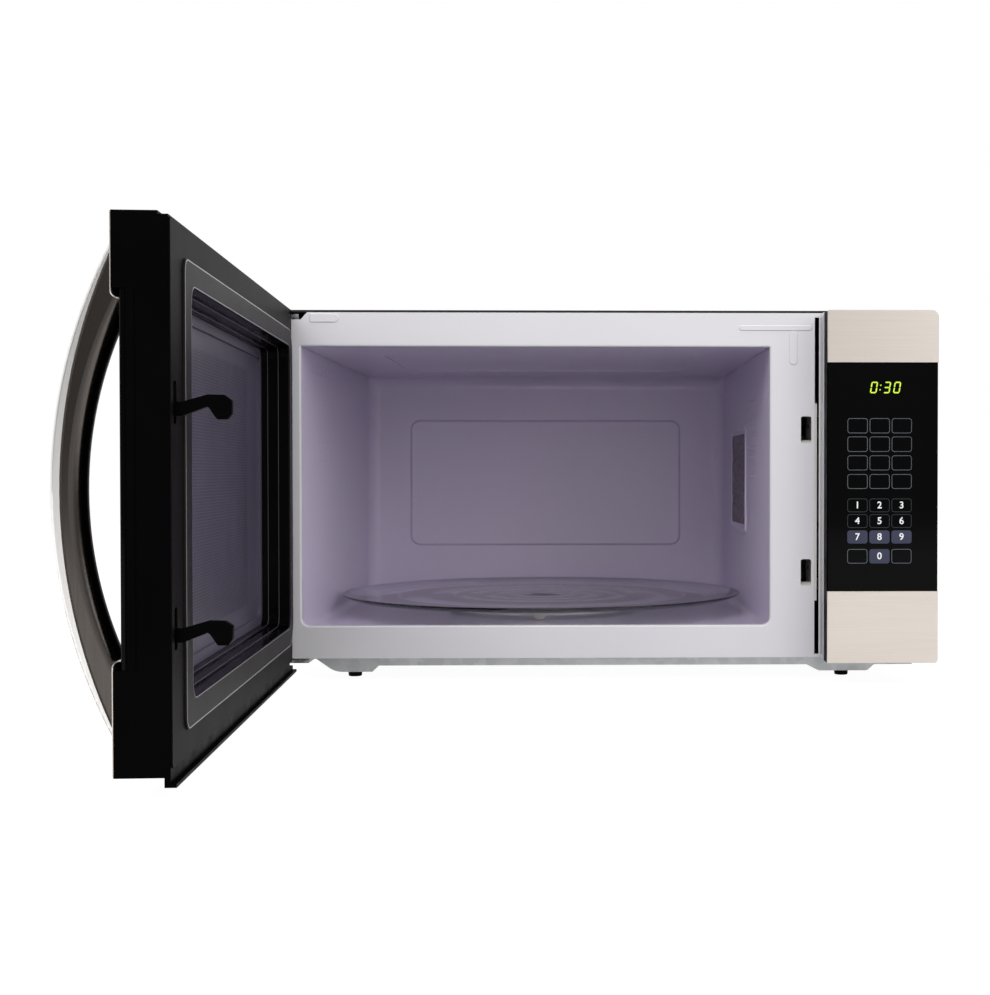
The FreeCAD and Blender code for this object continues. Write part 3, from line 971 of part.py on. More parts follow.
def oven_lamp():
    """Oven lamp: tubular glass bulb with rounded ends, on a metal cap that stands in the holder."""
    tip = WALL_X + LAMP_CLEAR
    shoulder = tip + BULB_LENGTH
    bulb = rounded(rod(BULB_R, (tip, LAMP_Y, LAMP_Z), (shoulder, LAMP_Y, LAMP_Z)), BULB_ROUND, lambda e: e.BoundBox.XLength < 0.01)
    cap = rod(LAMP_CAP_R, (shoulder - 1.0, LAMP_Y, LAMP_Z), (WALL_X + LAMP_DEPTH, LAMP_Y, LAMP_Z))
    return fuse(bulb, cap)


def noise_filter():
    """Supply filter board with choke, capacitor and fuse, on the back panel."""
    y1 = BACK - SHEET - 4
    board = box(184, 240, y1 - 1.6, y1, 40, 92)
    posts = [rod(2.4, (x, y1 - 0.5, z), (x, BACK - SHEET, z)) for x in (188, 236) for z in (44, 88)]
    choke = rod(11.0, (202, y1 - 15, 64), (202, y1 - 1, 64))
    parts = [box(218, 234, y1 - 14, y1 - 1.6, 50, 78), rod(2.6, (190, y1 - 4, 84), (216, y1 - 4, 84))]
    return fuse(board, *posts, choke, *parts)


def thermal_cutout():
    """Thermal cut-out disc clipped on the cavity ceiling."""
    z = OPEN_Z1 + SHEET
    x, y = OPEN_X1 - 30, 120.0
    plate = box(x - 12, x + 12, y - 5, y + 5, z, z + 0.8)
    return fuse(plate, rod(7.5, (x, y, z + 0.5), (x, y, z + 8)), box(x - 9, x - 8.2, y - 3, y + 3, z + 0.5, z + 13), box(x + 8.2, x + 9, y - 3, y + 3, z + 0.5, z + 13))


# ---- turntable --------------------------------------------------------------------------------------
def turntable_motor():
    """Flat synchronous motor hung under the cavity floor on two ears."""
    top = FLOOR_Z - SHEET
    can = rod(MOTOR_R, (TRAY_X, TRAY_Y, top - MOTOR_H), (TRAY_X, TRAY_Y, top - 1.2))
    can = rounded(can, 2.0, lambda e: flat_at(e, "z", top - MOTOR_H))
    ears = slab(rect(TRAY_X - 33, TRAY_X + 33, TRAY_Y - 6, TRAY_Y + 6), "xy", top - 1.4, top, 5.0)
    box_side = box(TRAY_X - 13, TRAY_X + 13, TRAY_Y + MOTOR_R - 4, TRAY_Y + MOTOR_R + 8, top - MOTOR_H + 2, top - 4)
    bore = rod(SHAFT_R + 0.06, (TRAY_X, TRAY_Y, top - 9), (TRAY_X, TRAY_Y, top + 1))
    return fuse(can, ears, box_side).cut(bore)


def turntable_coupler():
    """Three-lobed drive hub on the motor's shaft; its lobes carry the tray's socket."""
    top = TRAY_Z - 0.3
    stem = rod(SHAFT_R, (TRAY_X, TRAY_Y, FLOOR_Z - SHEET - 8.6), (TRAY_X, TRAY_Y, FLOOR_Z + 2))
    disc = rod(HUB_R - 3.5, (TRAY_X, TRAY_Y, FLOOR_Z + 1.0), (TRAY_X, TRAY_Y, FLOOR_Z + 4))
    core = rod(6.0, (TRAY_X, TRAY_Y, FLOOR_Z + 3), (TRAY_X, TRAY_Y, top))
    lobes = []
    for i in range(3):
        lobe = slab(rect(0, HUB_R, -3.6, 3.6), "xy", FLOOR_Z + 3.5, top, [0, 3.0, 3.0, 0])
        lobe.rotate(V(0, 0, 0), V(0, 0, 1), 120 * i + 90)
        lobe.translate(V(TRAY_X, TRAY_Y, 0))
        lobes.append(lobe)
    return fuse(stem, disc, core, *lobes)


def glass_tray():
    """Round glass tray: flat middle, shallow well, rolled rim and a three-notched socket below."""
    z = TRAY_Z
    t = TRAY_T
    profile = [(0, z), (TRAY_R - 38, z), (TRAY_R - 30, z + 1.0), (TRAY_R - 9, z + 3.0), (TRAY_R - 2.0, z + 5.5), (TRAY_R, z + 7.2),
               (TRAY_R - 0.4, z + TRAY_RIM), (TRAY_R - 3.0, z + TRAY_RIM - 0.2), (TRAY_R - 9, z + 3.6 + t - 2), (TRAY_R - 32, z + t), (TRAY_R - 60, z + t),
               (14, z + t), (9.5, z + t + 1.2), (0, z + t + 1.2)]
    dish = turned(profile, (TRAY_X, TRAY_Y))
    socket = turned([(HUB_R + 2, z - 5), (HUB_R + 6, z - 5), (HUB_R + 6, z + 0.5), (HUB_R + 2, z + 0.5)], (TRAY_X, TRAY_Y))
    teeth = []
    for i in range(3):
        tooth = slab(rect(HUB_R - 4, HUB_R + 3, -4.5, 4.5), "xy", z - 5, z + 0.5, [2, 0, 0, 2])
        tooth.rotate(V(0, 0, 0), V(0, 0, 1), 120 * i + 30)
        tooth.translate(V(TRAY_X, TRAY_Y, 0))
        teeth.append(tooth)
    return fuse(dish, socket, *teeth)


def spoke(solid, i):
    """A piece drawn on the +X side of the tray's axis, turned to the i-th wheel's place."""
    placed = solid.copy()
    placed.rotate(V(0, 0, 0), V(0, 0, 1), 120 * i + 30)
    placed.translate(V(TRAY_X, TRAY_Y, 0))
    return placed


def roller_ring():
    """Roller guide: a ring with three arms and the wheels' axles on them."""
    z0, z1 = WHEEL_Z - RING_H / 2, WHEEL_Z + RING_H / 2
    ring = turned([(RING_R - RING_T / 2, z0), (RING_R + RING_T / 2, z0), (RING_R + RING_T / 2, z1), (RING_R - RING_T / 2, z1)], (TRAY_X, TRAY_Y))
    stubs = []
    for i in range(3):
        axle = rod(AXLE_R, (RING_R, 0, WHEEL_Z), (WHEEL_TRACK + WHEEL_T / 2 + 1.6, 0, WHEEL_Z))
        head = rod(AXLE_R + 0.9, (WHEEL_TRACK + WHEEL_T / 2 + 0.4, 0, WHEEL_Z), (WHEEL_TRACK + WHEEL_T / 2 + 1.8, 0, WHEEL_Z))
        stubs += [spoke(axle, i), spoke(head, i)]
    return fuse(ring, *stubs)


def roller_wheel(i):
    """A roller wheel on its axle, with a rounded tread and a web."""
    r, half = WHEEL_R, WHEEL_T / 2
    wheel = rod(r, (WHEEL_TRACK - half, 0, WHEEL_Z), (WHEEL_TRACK + half, 0, WHEEL_Z))
    wheel = wheel.makeFillet(1.0, [e for e in wheel.Edges if flat_at(e, "x", WHEEL_TRACK - half) or flat_at(e, "x", WHEEL_TRACK + half)])
    return spoke(wheel.cut(rod(AXLE_R + PIN_RUN, (WHEEL_TRACK - 10, 0, WHEEL_Z), (WHEEL_TRACK + 10, 0, WHEEL_Z))), i)


def roller_wheel_1():
    """First roller wheel."""
    return roller_wheel(0)


def roller_wheel_2():
    """Second roller wheel."""
    return roller_wheel(1)


def roller_wheel_3():
    """Third roller wheel."""
    return roller_wheel(2)


# ---- door, drawn shut on the pin's axes ---------------------------------------------------------------
def nose_plan(front_n, back_n, s1):
    """The door's plan outline: rounded about the pin at the hinge edge, square at the free edge."""
    reach = PIN_FORWARD - NOSE_CLEAR
    s_cut = math.sqrt(reach ** 2 - back_n ** 2)
    n_cut = math.sqrt(reach ** 2 - DOOR_S0 ** 2)
    mid = math.atan2(n_cut, DOOR_S0) / 2 + math.atan2(back_n, -s_cut) / 2
    edges = [Part.Arc(V(DOOR_S0, n_cut, 0), V(reach * math.cos(mid), reach * math.sin(mid), 0), V(-s_cut, back_n, 0)).toShape(),
             Part.LineSegment(V(-s_cut, back_n, 0), V(s1, back_n, 0)).toShape(),
             Part.LineSegment(V(s1, back_n, 0), V(s1, front_n, 0)).toShape(),
             Part.LineSegment(V(s1, front_n, 0), V(DOOR_S0 + CORNER_R, front_n, 0)).toShape(),
             Part.Arc(V(DOOR_S0 + CORNER_R, front_n, 0), V(DOOR_S0 + CORNER_R * (1 - math.sin(math.pi / 4)), front_n + CORNER_R * (1 - math.cos(math.pi / 4)), 0),
                      V(DOOR_S0, front_n + CORNER_R, 0)).toShape(),
             Part.LineSegment(V(DOOR_S0, front_n + CORNER_R, 0), V(DOOR_S0, n_cut, 0)).toShape()]
    return Part.Wire(edges)


def nose_block(front_n, back_n, z0, z1, s1=None):
    """The door's plan outline raised between two heights."""
    face = Part.Face(nose_plan(front_n, back_n, DOOR_S1 if s1 is None else s1))
    face.translate(V(0, 0, z0))
    return face.extrude(V(0, 0, z1 - z0))


def latch_pocket():
    """The hook bar's channel inside the door, with the wider spring chamber above it."""
    channel = box(LATCH_S - HOOK_T / 2 - LATCH_PLAY, LATCH_S + HOOK_T / 2 + LATCH_PLAY, LATCH_BAR_N0 - LATCH_PLAY, FACE_N + 5,
                  HOOK_LOW_Z - BAR_PAST - JOINT_GAP, LATCH_ROOF)
    reach = SPRING_R + SPRING_WIRE
    chamber = box(LATCH_S - reach, LATCH_S + reach, SPRING_N - reach, FACE_N + 5, HOOK_HIGH_Z + BAR_PAST - 1, LATCH_ROOF)
    return [channel, chamber]


def door_outer_frame():
    """Moulded door frame: rounded hinge edge, slots for the hinge arms, latch pocket and bottom lip."""
    body = nose_block(CAP_N + CAP_T, PAN_N, DOOR_BOTTOM, DOOR_TOP)
    glass_z0, glass_z1 = CAP_SPLIT_BOTTOM - GLASS_TUCK, CAP_SPLIT_TOP + GLASS_TUCK
    slot_s = ARM_R + 1.3
    slot_n = -ARM_R - 4.1
    cuts = [box(DOOR_S0 - 1, DOOR_S1 + 1, CAP_N - 5, -GLASS_BACK, glass_z0, glass_z1),
            slab(rect(POCKET_S0, POCKET_S1, POCKET_Z0, POCKET_Z1), "xz", -GLASS_BACK, FACE_N + 3, 6.0),
            box(DOOR_S0 - 1, slot_s, slot_n, FACE_N + 5, DOOR_BOTTOM - 1, RIM_Z + ARM_GAP),
            box(DOOR_S0 - 1, slot_s, slot_n, FACE_N + 5, ARM_Z_TOP - ARM_T - ARM_GAP, ARM_Z_TOP + ARM_GAP),
            rod(PIN_R + PIN_RUN, (0, 0, RIM_Z), (0, 0, LOW_PIN_TOP + 0.6)),
            rod(PIN_R + PIN_RUN, (0, 0, HIGH_PIN_LOW - 0.6), (0, 0, ARM_Z_TOP)),
            box(DOOR_S0 - 1, DOOR_S1 + 1, PAN_N - 6, PAN_N + 1, DOOR_TOP - DOOR_TOP_STEP, DOOR_TOP + 1)]
    cuts += latch_pocket()
    cuts += [box(DOOR_S1 - 0.5, DOOR_S1 + 1, n - 0.5, n + 0.5, glass_z0, glass_z1) for n in EDGE_GROOVES]
    for z in HANDLE_SCREW_Z:
        cuts.append(rod(2.2, (HANDLE_S, CAP_N - 1, z), (HANDLE_S, PAN_N - 4, z)))
        cuts.append(rod(4.6, (HANDLE_S, PAN_N - 16, z), (HANDLE_S, PAN_N + 5, z)))
    rib = box(DOOR_S0, DOOR_S1, RIB_N, PAN_N, LIP_Z, DOOR_BOTTOM)
    lip = box(DOOR_S0, DOOR_S1, RIB_N, LIP_OUT, LIP_Z, LIP_Z + LIP_T)
    return fuse(body.cut(cuts), rib, lip)


def door_choke_pan():
    """Metal inner face of the door, with the hooks' two slots and the folded choke rim behind it."""
    top = ARM_Z_TOP + 1.8
    bottom = RIM_Z + ARM_GAP
    plate = slab(rect(0.8, DOOR_S1 - 1.0, bottom, top), "xz", PAN_N, FACE_N, [1, 3, 3, 1])
    cuts = [slab(rect(POCKET_S0 + 2, POCKET_S1 - 2, POCKET_Z0 + 6, POCKET_Z1 - 6), "xz", PAN_N - 2, FACE_N + 2, 6.0),
            box(-5, ARM_R + 2.0, PAN_N - 2, FACE_N + 2, ARM_Z_TOP - ARM_T - ARM_GAP - 0.3, top + 5)]
    for z in (HOOK_LOW_Z, HOOK_HIGH_Z):
        cuts.append(slab(rect(LATCH_S + 1 - DOOR_SLOT_W / 2, LATCH_S + 1 + DOOR_SLOT_W / 2, z - DOOR_SLOT_H / 2 + 0.9, z + DOOR_SLOT_H / 2 + 0.9),
                         "xz", PAN_N - 2, FACE_N + 2, 2.5))
    return plate.cut(cuts)


def window_ring(s0, s1, z0, z1, n0, n1, inset, radius):
    """A rectangular ring between an outline and the window opening set in by a margin."""
    outer = slab(rect(s0, s1, z0, z1), "xz", n0, n1, 6.0)
    hole = slab(rect(WINDOW_S0 + inset, WINDOW_S1 - inset, WINDOW_Z0 + inset, WINDOW_Z1 - inset), "xz", n0 - 1, n1 + 1, radius)
    return outer.cut(hole)


def door_window_frame():
    """Stepped black surround between the inner cover and the screen."""
    s0, s1, z0, z1 = POCKET_S0 + JOINT_GAP, POCKET_S1 - JOINT_GAP, POCKET_Z0 + JOINT_GAP, POCKET_Z1 - JOINT_GAP
    levels = [PAN_N] + [FACE_N - depth for depth in WINDOW_STEP_DEPTHS] + [SCREEN_N]
    rings = [window_ring(s0, s1, z0, z1, low, high, i * WINDOW_STEP, WINDOW_R)
             for i, (high, low) in enumerate(zip(levels, levels[1:]))]
    plug = slab(rect(POCKET_S0 + 2.3, POCKET_S1 - 2.3, POCKET_Z0 + 6.3, POCKET_Z1 - 6.3), "xz", PAN_N - 0.5, FACE_N, 6.0)
    plug = plug.cut(slab(rect(WINDOW_S0, WINDOW_S1, WINDOW_Z0, WINDOW_Z1), "xz", PAN_N - 3, FACE_N + 3, WINDOW_R))
    hollow = window_ring(s0 - 1, s1 + 1, z0 - 1, z1 + 1, SCREEN_N + WINDOW_STEP, PAN_N - 2.5, -2.6, WINDOW_R + 2.6)
    return fuse(plug, *rings).cut(hollow)


def door_screen():
    """Perforated metal screen's sheet behind the glass, with its raised border."""
    s0, s1, z0, z1 = POCKET_S0 + JOINT_GAP, POCKET_S1 - JOINT_GAP, POCKET_Z0 + JOINT_GAP, POCKET_Z1 - JOINT_GAP
    sheet = slab(rect(s0, s1, z0, z1), "xz", SCREEN_N - SCREEN_T, SCREEN_N, 6.0)
    edge = len(WINDOW_STEP_DEPTHS) * WINDOW_STEP + 0.2
    ring = slab(rect(WINDOW_S0 + edge, WINDOW_S1 - edge, WINDOW_Z0 + edge, WINDOW_Z1 - edge), "xz", SCREEN_N - 0.2, SCREEN_N + SCREEN_RISE, WINDOW_R)
    inner = edge + SCREEN_BORDER
    ring = ring.cut(slab(rect(WINDOW_S0 + inner, WINDOW_S1 - inner, WINDOW_Z0 + inner, WINDOW_Z1 - inner), "xz", SCREEN_N - 3, SCREEN_N + 9, WINDOW_R - 3))
    return fuse(sheet, ring)


def door_inner_cover():
    """Raised inner cover round the window, with larger corners at the hinge side."""
    cover = slab(rect(COVER_S0, COVER_S1, COVER_Z0, COVER_Z1), "xz", FACE_N, COVER_N, [COVER_R_HINGE, COVER_R_FREE, COVER_R_FREE, COVER_R_HINGE])
    cover = cover.makeChamfer(0.6, [e for e in cover.Edges if flat_at(e, "y", COVER_N)])
    return cover.cut(slab(rect(WINDOW_S0, WINDOW_S1, WINDOW_Z0, WINDOW_Z1), "xz", FACE_N - 2, COVER_N + 2, WINDOW_R))


def door_glass():
    """Front glass, tucked under the steel caps, its long edges ground round."""
    z0, z1 = CAP_SPLIT_BOTTOM - GLASS_TUCK + 0.2, CAP_SPLIT_TOP + GLASS_TUCK - 0.2
    glass = box(DOOR_S0 + 0.8, DOOR_S1 - CAP_T - 0.4, GLASS_N, -GLASS_BACK, z0, z1)
    return rounded(glass, 1.8, lambda e: flat_at(e, "y", GLASS_N) and e.BoundBox.ZLength > 50)


def door_cap(z0, z1, top):
    """A steel cap: a front skin on the moulded frame that rolls in towards the glass at its split end."""
    s0, s1 = DOOR_S0 + CORNER_R * 0.55, DOOR_S1 - CAP_MARGIN
    split_z, far_z, inward = (z0, z1, 1) if top else (z1, z0, -1)
    cap = slab(rect(s0, s1, CAP_N, GLASS_N - GLASS_CLEAR), "xy", z0, z1, [CAP_EDGE, CAP_EDGE, 0, 0])
    cap = rounded(cap, CAP_ROLL, lambda e: flat_at(e, "z", split_z) and flat_at(e, "y", CAP_N))
    cap = rounded(cap, CAP_EDGE, lambda e: flat_at(e, "z", far_z) and flat_at(e, "y", CAP_N))
    wall_z, past_z = split_z + inward * CAP_T, far_z + inward
    hollow = box(s0 - 1, s1 + 1, CAP_N + CAP_T, GLASS_N, min(wall_z, past_z), max(wall_z, past_z))
    hollow = rounded(hollow, CAP_ROLL - CAP_T, lambda e: flat_at(e, "z", wall_z) and flat_at(e, "y", CAP_N + CAP_T))
    holes = [rod(2.2, (HANDLE_S, CAP_N - 3, z), (HANDLE_S, CAP_N + 5, z)) for z in HANDLE_SCREW_Z if z0 < z < z1]
    return cap.cut([hollow] + holes)


def door_top_cap():
    """Upper steel cap of the door."""
    return door_cap(CAP_SPLIT_TOP, DOOR_TOP - 0.2, True)


def door_bottom_cap():
    """Lower steel cap of the door."""
    return door_cap(DOOR_BOTTOM + 0.2, CAP_SPLIT_BOTTOM, False)


def bow(half, rise, n_end, half_w):
    """A slab on the door's front whose outer side is an arc; n_end is its height at the ends."""
    z0, z1 = HANDLE_MID_Z - half, HANDLE_MID_Z + half
    base, tip = V(0, CAP_N, z0), V(0, CAP_N, z1)
    low, high = V(0, CAP_N - n_end, z0), V(0, CAP_N - n_end, z1)
    edges = [Part.Arc(low, V(0, CAP_N - n_end - rise, HANDLE_MID_Z), high).toShape()]
    if n_end > 0:
        edges += [Part.LineSegment(high, tip).toShape(), Part.LineSegment(tip, base).toShape(), Part.LineSegment(base, low).toShape()]
    else:
        edges.append(Part.LineSegment(high, low).toShape())
    face = Part.Face(Part.Wire(edges))
    face.translate(V(HANDLE_S - half_w, 0, 0))
    return face.extrude(V(2 * half_w, 0, 0))


def under_strip(half_w):
    """The space under the outer strip, which is thickest at its middle and thins to its ends."""
    seat = HANDLE_END - STRIP_END_T
    return bow(HANDLE_HALF, HANDLE_OUT - STRIP_MID_T - seat, seat, half_w)


def handle_bar():
    """Outer steel strip of the bow handle."""
    strip = bow(HANDLE_HALF, HANDLE_OUT - HANDLE_END, HANDLE_END, STRIP_W / 2)
    strip = rounded(strip, 2.0, lambda e: e.BoundBox.XLength < 0.01 and e.BoundBox.YMin < CAP_N - HANDLE_OUT + 1 and e.BoundBox.ZLength > 50)
    return strip.cut(under_strip(STRIP_W))


def handle_grip():
    """Rounded grip under the strip; it stands on both caps, and its upper end reaches in to the glass."""
    half_w = GRIP_W / 2
    foot = box(HANDLE_S - half_w, HANDLE_S + half_w, CAP_N, GLASS_N - GLASS_CLEAR,
               HANDLE_MID_Z + GRIP_HALF / 2, CAP_SPLIT_TOP - JOINT_GAP)
    grip = fuse(under_strip(half_w), foot).cut(bow(GAP_HALF, GAP_DEEP, CAP_N - GLASS_N, GRIP_W))
    inner = [e for e in grip.Edges if e.BoundBox.XLength < 0.01 and e.BoundBox.ZLength > 50 and
             e.Curve.TypeId == "Part::GeomCircle" and abs(e.valueAt(mid_of(e)).y - (CAP_N - GRIP_GAP)) < 0.1]
    grip = grip.makeFillet(GRIP_ROUND, inner)
    return grip.cut([rod(1.8, (HANDLE_S, CAP_N + 1, z), (HANDLE_S, CAP_N - 9.0, z)) for z in HANDLE_SCREW_Z])


def mid_of(edge):
    """The parameter halfway along an edge."""
    return (edge.FirstParameter + edge.LastParameter) / 2


def handle_screws():
    """Two screws from inside the door into the handle's ends."""
    return Part.makeCompound([pan_screw(HANDLE_S, PAN_N - 16, z, (0, -1, 0), PAN_N - 16 - CAP_N + 8.0, 3.8, 1.75) for z in HANDLE_SCREW_Z])


def latch_hooks():
    """The latch: a bar inside the door that carries two hooks out through the door's face."""
    s0, s1 = LATCH_S - HOOK_T / 2, LATCH_S + HOOK_T / 2
    bar = slab(rect(LATCH_BAR_N0, LATCH_BAR_N1, HOOK_LOW_Z - BAR_PAST, HOOK_HIGH_Z + BAR_PAST), "yz", s0, s1, 2.0)
    pieces = [bar]
    for z in (HOOK_LOW_Z, HOOK_HIGH_Z):
        f = FACE_N
        outline = [(LATCH_BAR_N0 + 1, z - 7), (f + 4, z - 7), (f + 18.3, z - 1.5), (f + 19.5, z - 2.2), (f + 24, z - 8.9), (f + 30, z - 8.9),
                   (f + 32.5, z - 5.7), (f + 32.8, z + 2.4), (f + 28.4, z + 5.3), (f + 18.7, z + 5.5), (f + 4, z + 1.2), (LATCH_BAR_N0 + 1, z + 1.2)]
        pieces.append(slab(outline, "yz", s0, s1, [0, 2, 0.3, 0.3, 1.6, 1.2, 1.2, 1.6, 1.6, 3, 2, 0]))
    return fuse(*pieces)


def latch_spring():
    """Coil spring between the hook bar's top and the pocket's roof."""
    low = HOOK_HIGH_Z + BAR_PAST + SPRING_WIRE / 2 + FIT_GAP
    high = LATCH_ROOF - SPRING_WIRE / 2 - FIT_GAP
    steps = SPRING_TURNS * SPRING_STEPS
    rise = (high - low) / steps
    rings = []
    for i in range(steps + 1):
        out = V(1, 0, 0)
        out = FreeCAD.Rotation(V(0, 0, 1), 360.0 * i / SPRING_STEPS).multVec(out)
        along = V(-out.y, out.x, rise * SPRING_STEPS / (2 * math.pi * SPRING_R)).normalize()
        across = along.cross(out)
        middle = V(LATCH_S, SPRING_N, low + i * rise) + out * SPRING_R
        corners = []
        for k in range(WIRE_SIDES):
            turn = 2 * math.pi * k / WIRE_SIDES
            corners.append(middle + (out * math.cos(turn) + across * math.sin(turn)) * (SPRING_WIRE / 2))
        rings.append(Part.makePolygon(corners + corners[:1]))
    return Part.makeLoft(rings, True, True)


# ---- table of pieces --------------------------------------------------------------------------------
BODY = [front_frame, cavity_shell, cavity_back, cavity_ceiling, outer_cabinet, back_panel, cord_gland, base_plate, feet, hinge_upper,
        hinge_lower, hinge_pins, hinge_screws, cabinet_screws, control_panel_housing, panel_top_trim, panel_bottom_trim, keypad_glass,
        keypad_membrane, display_module, control_board, interlock_bracket, door_switch_primary, door_switch_monitor, door_switch_secondary,
        waveguide, waveguide_cover, magnetron, hv_transformer, hv_capacitor, capacitor_clamp, hv_diode, fan_shroud, fan_motor, fan_impeller,
        air_duct, lamp_holder, oven_lamp, noise_filter, thermal_cutout, turntable_motor, turntable_coupler, glass_tray, roller_ring,
        roller_wheel_1, roller_wheel_2, roller_wheel_3]
DOOR = [door_outer_frame, door_choke_pan, door_window_frame, door_screen, door_inner_cover, door_glass, door_top_cap, door_bottom_cap,
        handle_bar, handle_grip, handle_screws, latch_hooks, latch_spring]


def main():
    """Build every piece, test that it is a closed solid, and write it."""
    os.makedirs("parts", exist_ok=True)
    for make in BODY + DOOR:
        shape = make()
        if make in DOOR:
            shape = hang(shape)
        solids = shape.Solids
        if not solids or not shape.isValid() or min(s.Volume for s in solids) <= 0:
            raise ValueError(f"{make.__name__} is not a closed solid")
        shape.exportStep(f"parts/{make.__name__}.step")
        print(f"{make.__name__:26s} solids {len(solids)}  volume {sum(s.Volume for s in solids) / 1000:9.2f} cm3")


if __name__ == "__main__":
    main()
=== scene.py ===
"""Looks of a countertop microwave oven that stands with its door open.

Metres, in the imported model's own frame: X runs right across the front, Y into the oven and Z up.
Pieces of the door are modelled as if it were shut, on the hinge pin's axes, and then swung open.
"""

import json
import logging
import math
from dataclasses import dataclass, field
from enum import Enum
from typing import Callable, Sequence

import bmesh
import bpy
from mathutils import Matrix, Vector


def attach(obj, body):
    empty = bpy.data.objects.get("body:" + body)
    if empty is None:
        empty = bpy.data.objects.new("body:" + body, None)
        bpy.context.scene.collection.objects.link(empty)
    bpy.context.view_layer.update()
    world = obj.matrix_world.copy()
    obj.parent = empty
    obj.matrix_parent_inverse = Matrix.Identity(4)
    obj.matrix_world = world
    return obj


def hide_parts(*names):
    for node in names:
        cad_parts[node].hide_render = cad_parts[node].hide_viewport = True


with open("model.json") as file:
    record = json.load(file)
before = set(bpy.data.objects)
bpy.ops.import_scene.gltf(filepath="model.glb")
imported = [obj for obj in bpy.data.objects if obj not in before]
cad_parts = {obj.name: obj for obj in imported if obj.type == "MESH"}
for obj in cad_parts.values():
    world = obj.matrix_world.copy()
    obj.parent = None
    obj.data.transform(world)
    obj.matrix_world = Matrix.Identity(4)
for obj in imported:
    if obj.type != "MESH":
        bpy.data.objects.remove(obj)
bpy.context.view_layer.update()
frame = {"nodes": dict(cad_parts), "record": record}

LOG = logging.getLogger("oven")
MM = 0.001
PARALLEL = 0.99

Colour = tuple[float, float, float, float]
Pair = tuple[float, float]
Triple = tuple[float, float, float]
Socket = bpy.types.NodeSocket
Piece = bpy.types.Object


def ink(code: str) -> Colour:
    """Turn a colour code such as #a0b0c0 into linear light.

    Args:
        code: Six hexadecimal digits after a hash sign.

    Returns:
        The colour's red, green, blue and full opacity.
    """
    shares = [int(code[i:i + 2], 16) / 255 for i in (1, 3, 5)]
    light = [c / 12.92 if c <= 0.04045 else ((c + 0.055) / 1.055) ** 2.4 for c in shares]
    return light[0], light[1], light[2], 1.0


def metres(*millimetres: float) -> tuple[float, ...]:
    """Turn millimetres into metres."""
    return tuple(value * MM for value in millimetres)


class Body(Enum):
    """The moving bodies that new pieces ride on."""

    OVEN = "oven"
    DOOR = "door"
    TRAY = "tray"


class Grain(Enum):
    """Which way the lines of a brushed surface run."""

    LEVEL = (14.0, 14.0, 3600.0)
    UPRIGHT = (3600.0, 3600.0, 14.0)


class Element(Enum):
    """What a selection in edit mode is made of."""

    VERT = "verts"
    EDGE = "edges"
    FACE = "faces"


class Mixed(Enum):
    """What a mix node mixes, by the places of its two inputs and its result."""

    FLOAT = (2, 3, 0)
    RGBA = (6, 7, 2)


class KeyStyle(Enum):
    """How a key is drawn on the panel's glass, by its ink."""

    OUTLINED = "grey_ink"
    FAINT = "faint_ink"
    FILLED = "blue_ink"


# ---- finishes --------------------------------------------------------------------------------------
class NodeSheet:
    """The nodes of a material or of the world, with short calls for the sums that they share."""

    def __init__(self, tree: bpy.types.NodeTree) -> None:
        """Work on one node tree."""
        self.nodes, self.links = tree.nodes, tree.links

    def join(self, node: bpy.types.Node, **values: Socket | float | Triple) -> None:
        """Link or set a node's inputs; an underscore in a name stands for a space."""
        for name, value in values.items():
            self.plug(node.inputs[name.replace("_", " ")], value)

    def plug(self, slot: Socket, value: Socket | float | Triple | Colour) -> None:
        """Link an input to a texture, or set it.

        Args:
            slot: The input.
            value: A texture, a number or a colour.
        """
        if isinstance(value, (int, float, tuple)):
            slot.default_value = value
        else:
            self.links.new(value, slot)

    def maths(self, operation: str, first: Socket | float, second: Socket | float = 0.0) -> Socket:
        """One sum on two values.

        Args:
            operation: The operation's name.
            first: A value or a number.
            second: A value or a number.

        Returns:
            The result.
        """
        node = self.nodes.new("ShaderNodeMath")
        node.operation = operation
        for slot, value in zip(node.inputs, (first, second)):
            self.plug(slot, value)
        return node.outputs[0]

    def vector(self, operation: str, first: Socket, second: Triple = (0.0, 0.0, 0.0),
               output: str = "Vector") -> Socket:
        """One sum on a vector and a constant.

        Args:
            operation: The operation's name.
            first: The vector.
            second: The constant.
            output: Vector, or Value where the result is a number.

        Returns:
            The result.
        """
        node = self.nodes.new("ShaderNodeVectorMath")
        node.operation = operation
        for slot, value in zip(node.inputs, (first, second)):
            self.plug(slot, value)
        return node.outputs[output]

    def split(self, vector: Socket) -> bpy.types.Node:
        """Take a vector apart.

        Args:
            vector: The vector.

        Returns:
            The node, for its X, Y and Z.
        """
        node = self.nodes.new("ShaderNodeSeparateXYZ")
        self.plug(node.inputs[0], vector)
        return node

    def spread(self, value: Socket, low: float, high: float, start: float = 0.0, end: float = 1.0) -> Socket:
        """Map a value from one range to another.

        Args:
            value: The value.
            low: The result where the value is at start.
            high: The result where the value is at end.
            start: The lowest value used.
            end: The highest value used.

        Returns:
            The mapped value, held inside its range.
        """
        node = self.nodes.new("ShaderNodeMapRange")
        self.join(node, Value=value, From_Min=start, From_Max=end, To_Min=low, To_Max=high)
        return node.outputs["Result"]

    def blend(self, share: Socket, first: Colour | Socket | float, second: Colour | Socket | float,
              kind: Mixed = Mixed.RGBA) -> Socket:
        """Mix two colours, or two numbers, by a value.

        Args:
            share: 0 gives the first and 1 the second.
            first: A colour, a number or a texture.
            second: A colour, a number or a texture.
            kind: What is mixed.

        Returns:
            The mixture.
        """
        node = self.nodes.new("ShaderNodeMix")
        node.data_type = kind.name
        start, end, result = kind.value
        for place, value in zip((0, start, end), (share, first, second)):
            self.plug(node.inputs[place], value)
        return node.outputs[result]


